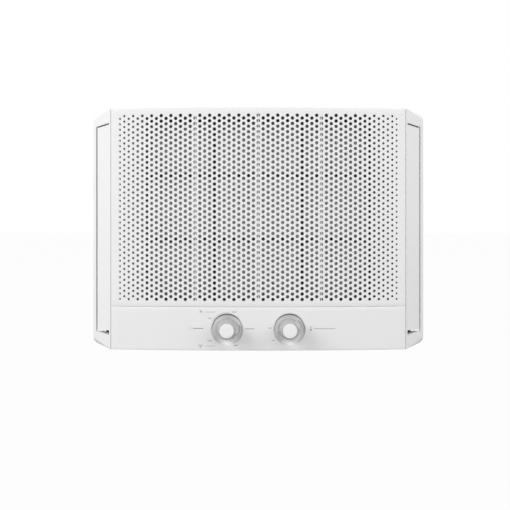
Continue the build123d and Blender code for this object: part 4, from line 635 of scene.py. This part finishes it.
# ---- control panel with its two dishes ----
def dish_rings(centre_x, centre_z, low, high):
    """Rings of one patch: from its rectangle in front, down into the dish and to the rectangle behind.
    Each ring is a circle of (radius, depth); w says how far it has left the bow for the flat dish floor."""
    angle = np.linspace(0, 2 * math.pi, DISH_STEPS, endpoint=False)
    cosine, sine = np.cos(angle), np.sin(angle)
    reach_x = np.where(cosine > 0, high[0] - centre_x, centre_x - low[0])
    reach_z = np.where(sine > 0, high[1] - centre_z, centre_z - low[1])
    hit = np.minimum(reach_x / np.maximum(np.abs(cosine), 1e-9), reach_z / np.maximum(np.abs(sine), 1e-9))
    outline = np.stack([centre_x + hit * cosine, centre_z + hit * sine], axis=1)
    for corner in ((low[0], low[1]), (high[0], low[1]), (high[0], high[1]), (low[0], high[1])):
        nearest = np.argmin(np.hypot(outline[:, 0] - corner[0], outline[:, 1] - corner[1]))
        outline[nearest] = corner
    circle = np.stack([cosine, sine], axis=1)
    middle = np.array([centre_x, centre_z])
    floor = bow(centre_x)
    lip = np.radians([0, 22, 45, 68, 90])
    front = [(DISH_RADIUS + DISH_LIP * (1 - math.sin(a)), DISH_LIP * (1 - math.cos(a)), 0.0) for a in lip]
    corner_turn = np.radians(np.linspace(0, 90, 8))
    wall = [
        (
            DISH_RADIUS - DISH_CORNER * (1 - math.cos(a)),
            DISH_DEPTH - DISH_CORNER * (1 - math.sin(a)),
            math.sin(a) ** 0.5,
        )
        for a in corner_turn
    ]
    inner = [
        (DISH_RADIUS * 0.5, DISH_DEPTH, 1.0),
        (SHAFT_HOLE, DISH_DEPTH, 1.0),
        (SHAFT_HOLE, DISH_DEPTH + WALL, 1.0),
    ]
    behind = [
        (radius + WALL * (radius > SHAFT_HOLE), depth + WALL, w)
        for radius, depth, w in reversed(front[-1:] + wall)
    ]
    rings = []
    for share in (0.0, 0.4, 0.75):
        ring = outline * (1 - share) + (middle + circle * (DISH_RADIUS + DISH_LIP)) * share
        rings.append(on_bow(ring, 0.0))
    for radius, depth, w in front + wall[1:] + inner + behind:
        ring = middle + circle * radius
        y = bow(ring[:, 0]) * (1 - w) + floor * w + depth
        rings.append(np.stack([ring[:, 0], y, ring[:, 1]], axis=1))
    rings.append(on_bow(outline, WALL))
    return outline, np.concatenate(rings), grid_faces(len(rings), DISH_STEPS, around=True)


def control_face():
    """The bowed strip below the cover: two dish patches, plain strips between them and a rounded border."""
    low, high = extent("control_panel")
    inner_low = np.array([low[0] + EDGE_ROUND, low[2] + EDGE_ROUND])
    inner_high = np.array([high[0] - EDGE_ROUND, high[2] - EDGE_ROUND])
    parts = []
    knobs = [knob_centre(name) for name in ("mode", "temperature")]
    bottom_x, top_x = [], []
    edges = [inner_low[0]]
    for knob in knobs:
        patch_low = np.array([knob[0] - PATCH_HALF, inner_low[1]])
        patch_high = np.array([knob[0] + PATCH_HALF, inner_high[1]])
        outline, points, faces = dish_rings(knob[0], knob[2], patch_low, patch_high)
        parts.append((points, faces))
        bottom_x.append(np.sort(outline[np.abs(outline[:, 1] - inner_low[1]) < ON_BORDER, 0]))
        top_x.append(np.sort(outline[np.abs(outline[:, 1] - inner_high[1]) < ON_BORDER, 0]))
        levels = np.sort(outline[np.abs(outline[:, 0] - patch_high[0]) < ON_BORDER, 1])
        edges += [patch_low[0], patch_high[0]]
    edges.append(inner_high[0])
    all_bottom, all_top = [], []
    for number in range(3):
        start, end = edges[2 * number], edges[2 * number + 1]
        lines = np.linspace(start, end, 12)
        grid_x, grid_z = np.meshgrid(lines, levels)
        flat = np.stack([grid_x.ravel(), grid_z.ravel()], axis=1)
        faces = grid_faces(len(levels), len(lines))
        parts.append((on_bow(flat, 0.0), faces))
        parts.append((on_bow(pushed_out(flat, inner_low, inner_high), WALL), faces[:, ::-1]))
        all_bottom += list(lines)
        all_top += list(lines)
        if number < 2:
            all_bottom += list(bottom_x[number][1:-1])
            all_top += list(top_x[number][1:-1])
    loop = rectangle_loop(all_bottom, all_top, (inner_low[1], inner_high[1]), list(levels))
    parts.append(border_band(loop, inner_low, inner_high))
    return parts


def dial(name):
    """Knob and face cap: turned profiles with rounded rims, and the grey pointer beside them."""
    low, high = extent(f"{name}_knob")
    centre = knob_centre(name)
    front, back = centre[1] - low[1], centre[1] - high[1]
    base = (high[0] - low[0]) / 2
    cap_low, cap_high = extent(f"{name}_knob_cap")
    cap_radius = (cap_high[0] - cap_low[0]) / 2
    face = cap_radius + 0.8 * MM
    seat = front - 0.6 * MM
    outline = [(0, back), (base, back), (base, back + 1.2 * MM), (face, front)]
    outline += [(cap_radius + 0.2 * MM, front), (cap_radius + 0.15 * MM, seat), (0, seat)]
    profile = rounded_line(outline, 0.7 * MM)
    body = f"{name}_dial"
    knob = [turned(profile, centre)]
    closed_shell(f"{name}_knob_body", knob, knob_satin, body, (f"{name}_knob",), crease=50.0)
    top = centre[1] - cap_low[1]
    foot = seat - 0.4 * MM
    cap_line = [(0, foot), (cap_radius, foot), (cap_radius, top), (cap_radius * 0.5, top), (0, top)]
    cap = [turned(rounded_line(cap_line, 0.5 * MM), centre)]
    closed_shell(f"{name}_knob_face", cap, knob_white, body, (f"{name}_knob_cap",), crease=50.0)
    softened(f"{name}_knob_pointer", f"{name}_pointer", 0.45 * MM, pointer_grey, body)


# ---- printed marks ----
def stroke(line, width, closed=False):
    """A line of (x, z) points drawn as a flat ribbon of the given width, a hair proud of the bow."""
    line = np.asarray(line, float)
    if closed:
        ahead = np.roll(line, -1, axis=0) - np.roll(line, 1, axis=0)
    else:
        ahead = np.gradient(line, axis=0)
    across = np.stack([-ahead[:, 1], ahead[:, 0]], axis=1)
    across *= width / 2 / np.linalg.norm(across, axis=1, keepdims=True)
    rings = []
    for side, depth in ((1, 0.05 * MM), (1, -0.06 * MM), (-1, -0.06 * MM), (-1, 0.05 * MM)):
        rings.append(on_bow(line + across * side, depth))
    count = len(line)
    points = np.stack(rings, axis=1).reshape(-1, 3)
    faces = grid_faces(count, 4, around=True).tolist()
    if closed:
        last = (count - 1) * 4
        faces += [[last + i, last + (i + 1) % 4, (i + 1) % 4, i] for i in range(4)]
    else:
        faces += [[0, 1, 2, 3], [(count - 1) * 4 + i for i in (3, 2, 1, 0)]]
    return points, faces


def arc(centre, radius, start, end, steps=24):
    """Points on a circle's arc, angles in degrees from +X."""
    angle = np.radians(np.linspace(start, end, steps))
    return np.stack([centre[0] + radius * np.cos(angle), centre[1] + radius * np.sin(angle)], axis=1)


def printing():
    """Signs and scale bars round both dishes: frost, fan, thermometer, and a bar at each setting."""
    mode = knob_centre("mode")[[0, 2]]
    temperature = knob_centre("temperature")[[0, 2]]
    dark, pale = [], []

    def bar(middle, x, z, length, width, into):
        start = middle + np.array([x, z]) * MM
        line = np.linspace(start, start + np.array([length * MM, 0]), 6)
        into.append(stroke(line, width * MM))

    settings = [(8.0, 27.8, 7.6), (-30.6, 17.8, 6.0), (-31.6, -18.3, 7.8), (9.8, -25.1, 7.6)]
    settings.append((28.6, 1.0, 14.6))
    for x, z, length in settings:
        bar(mode, x, z, length, 0.95, dark)
    for x, z, length in ((-35.6, 27.6, 17.0), (-35.0, -26.6, 16.5)):
        bar(mode, x, z, length, 0.7, pale)
    bar(mode, -54.6, 1.5, 16.4, 1.1, dark)
    corner = mode + np.array([-60.6, 0.0]) * MM
    box = corner + np.array([[0, 0], [3.4, 0], [3.4, 3.2], [0, 3.2]]) * MM
    pale.append(stroke(box, 0.35 * MM, closed=True))
    for x, z, length in ((-33.6, 2.2, 4.8), (-27.4, -17.6, 3.6)):
        bar(temperature, x, z, length, 0.95, dark)
    bar(temperature, 39.4, 1.0, 33.6, 1.0, pale)
    frost = mode + np.array([-41.7, 28.3]) * MM
    for spoke in range(3):
        turn = math.radians(60 * spoke + 30)
        way = np.array([math.cos(turn), math.sin(turn)]) * 2.6 * MM
        dark.append(stroke(np.linspace(frost - way, frost + way, 4), 0.5 * MM))
    blade = np.linspace(0, 1, 8)
    fan = mode + np.array([-42.4, -26.6]) * MM
    for number in range(3):
        turn = math.radians(120 * number + 90) + blade * 1.5
        reach = (0.5 + 2.6 * np.sin(blade * math.pi * 0.62)) * MM
        petal = fan + np.stack([np.cos(turn) * reach, np.sin(turn) * reach], axis=1)
        dark.append(stroke(petal, 0.7 * MM))
    dark.append(stroke(arc(fan, 0.6 * MM, 0, 330, 12), 0.5 * MM, closed=True))
    bulb = temperature + np.array([33.9, -1.0]) * MM
    dark.append(stroke(arc(bulb, 1.2 * MM, 0, 345, 16), 0.9 * MM, closed=True))
    stem = np.linspace(bulb + np.array([0, 1.0]) * MM, bulb + np.array([0, 6.2]) * MM, 5)
    dark.append(stroke(stem, 0.9 * MM))
    for level in (3.0, 4.4, 5.8):
        tick = bulb + np.array([1.4, level]) * MM
        pale.append(stroke(np.linspace(tick, tick + np.array([1.2, 0]) * MM, 3), 0.35 * MM))
    dark.append(stroke(arc(mode, 27.2 * MM, 82, 152), 0.28 * MM))
    closed_shell("dial_signs", dark, print_ink, "housing", crease=20.0)
    closed_shell("dial_scale_bars", pale, print_pale, "housing", crease=20.0)


# ---- filter net and finned coils ----
def filter_net():
    """Two layers of straight strands, one upright and one level, that lie on each other."""
    low, high = extent("filter_mesh")
    parts = []
    middle_y = (low[1] + high[1]) / 2
    reach = NET_STRAND / 2
    for x in np.arange(low[0] + NET_PITCH, high[0] - NET_PITCH / 2, NET_PITCH):
        parts.append(block((x - reach, middle_y - NET_LAYER, low[2]), (x + reach, middle_y, high[2])))
    for z in np.arange(low[2] + NET_PITCH, high[2] - NET_PITCH / 2, NET_PITCH):
        parts.append(block((low[0], middle_y, z - reach), (high[0], middle_y + NET_LAYER, z + reach)))
    return closed_shell("filter_net", parts, net_grey, "air_filter", ("filter_mesh",))


def fin_stack(name, node):
    """Thin fins side by side, each with a shallow wave: x = place + wave * sin(5 pi t) over its depth t."""
    low, high = extent(node)
    share = np.linspace(0, 1, 11)
    wave = FIN_WAVE * np.sin(5 * math.pi * share)
    depth = low[1] + share * (high[1] - low[1])
    outline_x = np.concatenate([wave - FIN_HALF, (wave + FIN_HALF)[::-1]])
    outline_y = np.concatenate([depth, depth[::-1]])
    ring = len(outline_x)
    parts = []
    faces = grid_faces(2, ring, around=True).tolist()
    half = ring // 2
    for level in (0, 1):
        start = level * ring
        end = start + ring - 1
        faces += [[start + i, start + i + 1, end - 1 - i, end - i] for i in range(half - 1)]
    for place in np.arange(low[0] + 1.0 * MM, high[0] - 0.5 * MM, FIN_PITCH):
        levels = [
            np.stack([place + outline_x, outline_y, np.full(ring, z)], axis=1)
            for z in (low[2], high[2])
        ]
        parts.append((np.concatenate(levels), faces))
    return closed_shell(name, parts, fin_aluminium, "housing", (node,), crease=40.0)


def foam_seal():
    """The foam strip round the cabinet: the CAD strip with well rounded edges and a slightly uneven face."""
    piece = softened("wall_seal", "foam_seal", 1.5 * MM, seal_foam, "housing")
    piece.modifiers["soft_edges"].segments = 3


softened("front_bezel", "fascia_frame", 0.7 * MM, fascia_white, "housing", bevel_angle=25.0)
perforated_cover()
closed_shell("control_face", control_face(), panel_white, "housing", ("control_panel",))
for dial_name in ("mode", "temperature"):
    dial(dial_name)
printing()
softened("left_vane", "left_outlet_vane", 0.5 * MM, fascia_white, "left_outlet")
softened("right_vane", "right_outlet_vane", 0.5 * MM, fascia_white, "right_outlet")
softened("filter_frame", "filter_frame_bars", 0.3 * MM, filter_grey, "air_filter")
filter_net()
fin_stack("evaporator_fin_stack", "evaporator_fins")
fin_stack("condenser_fin_stack", "condenser_fins")
softened("cable_gland", "cable_bushing", 0.4 * MM, rubber, "housing")
softened("cabinet_sleeve", "cabinet_wrap", 0.3 * MM, cabinet_paint, "housing")
softened("rear_guard", "rear_grille", 0.3 * MM, cabinet_paint, "housing")
foam_seal()


# ---- floor, light and camera ----
def studio_floor():
    """A pale floor that meets a white surround, with only a faint shadow under the cabinet."""
    finish = Finish("studio_floor")
    seen = finish.node("ShaderNodeLightPath", output="Is Camera Ray")
    paper = finish.node("ShaderNodeBsdfDiffuse", None, {"Color": colour(0.34)})
    glow = finish.node("ShaderNodeEmission", None, {"Color": colour(1.0), "Strength": 1.0})
    both = finish.node("ShaderNodeMixShader", None, {0: seen * FLOOR_WHITE, 1: paper, 2: glow})
    finish.node("ShaderNodeOutputMaterial", None, {"Surface": both})
    mesh = bpy.data.meshes.new("studio_floor")
    reach = 40.0
    level = -0.0005
    corners = [(-reach, -reach, level), (reach, -reach, level), (reach, reach, level), (-reach, reach, level)]
    mesh.from_pydata(corners, [], [(0, 1, 2, 3)])
    mesh.materials.append(finish.material)
    floor = bpy.data.objects.new("studio_floor", mesh)
    bpy.context.scene.collection.objects.link(floor)


def surround():
    """White to the camera, and a dimmer even light on the object."""
    world = bpy.data.worlds.new("surround")
    bpy.context.scene.world = world
    finish = Finish("surround", holder=world)
    seen = finish.node("ShaderNodeLightPath", output="Is Camera Ray")
    soft = finish.node("ShaderNodeBackground", None, {"Color": colour(1.0), "Strength": SURROUND_LIGHT})
    white = finish.node("ShaderNodeBackground", None, {"Color": colour(1.0)})
    both = finish.node("ShaderNodeMixShader", None, {0: seen, 1: soft, 2: white})
    finish.node("ShaderNodeOutputWorld", None, {"Surface": both})


def softbox(name, place, target, size, power):
    """A square area light that faces a point."""
    light = bpy.data.lights.new(name, "AREA")
    light.shape = "SQUARE"
    light.size = size
    light.energy = power
    lamp = bpy.data.objects.new(name, light)
    bpy.context.scene.collection.objects.link(lamp)
    lamp.location = place
    toward = Vector(target) - Vector(place)
    lamp.rotation_mode = "QUATERNION"
    lamp.rotation_quaternion = toward.to_track_quat("-Z", "Y")


studio_floor()
surround()
aim = (0.0, FRONT_Y + 0.05, 0.19)
softbox("key_light", (-3.5, FRONT_Y - 1.5, 2.1), aim, 2.0, 104.0)
softbox("fill_light", (3.4, FRONT_Y - 1.9, 1.6), aim, 2.4, 50.0)
softbox("top_light", (1.0, FRONT_Y - 1.7, 2.0), aim, 0.8, 10.0)

camera_data = bpy.data.cameras.new("studio_camera")
camera_data.sensor_width = 36.0
camera_data.lens = 57.7
camera_data.shift_x = FRAME_ASIDE
camera_data.shift_y = FRAME_BELOW
camera = bpy.data.objects.new("studio_camera", camera_data)
bpy.context.scene.collection.objects.link(camera)
camera.location = (0.0, FRONT_Y - EYE_DISTANCE, EYE_HEIGHT)
camera.rotation_euler = (math.pi / 2, 0.0, 0.0)
bpy.context.scene.camera = camera
bpy.context.scene.view_settings.view_transform = "Standard"
bpy.context.scene.view_settings.look = "None"
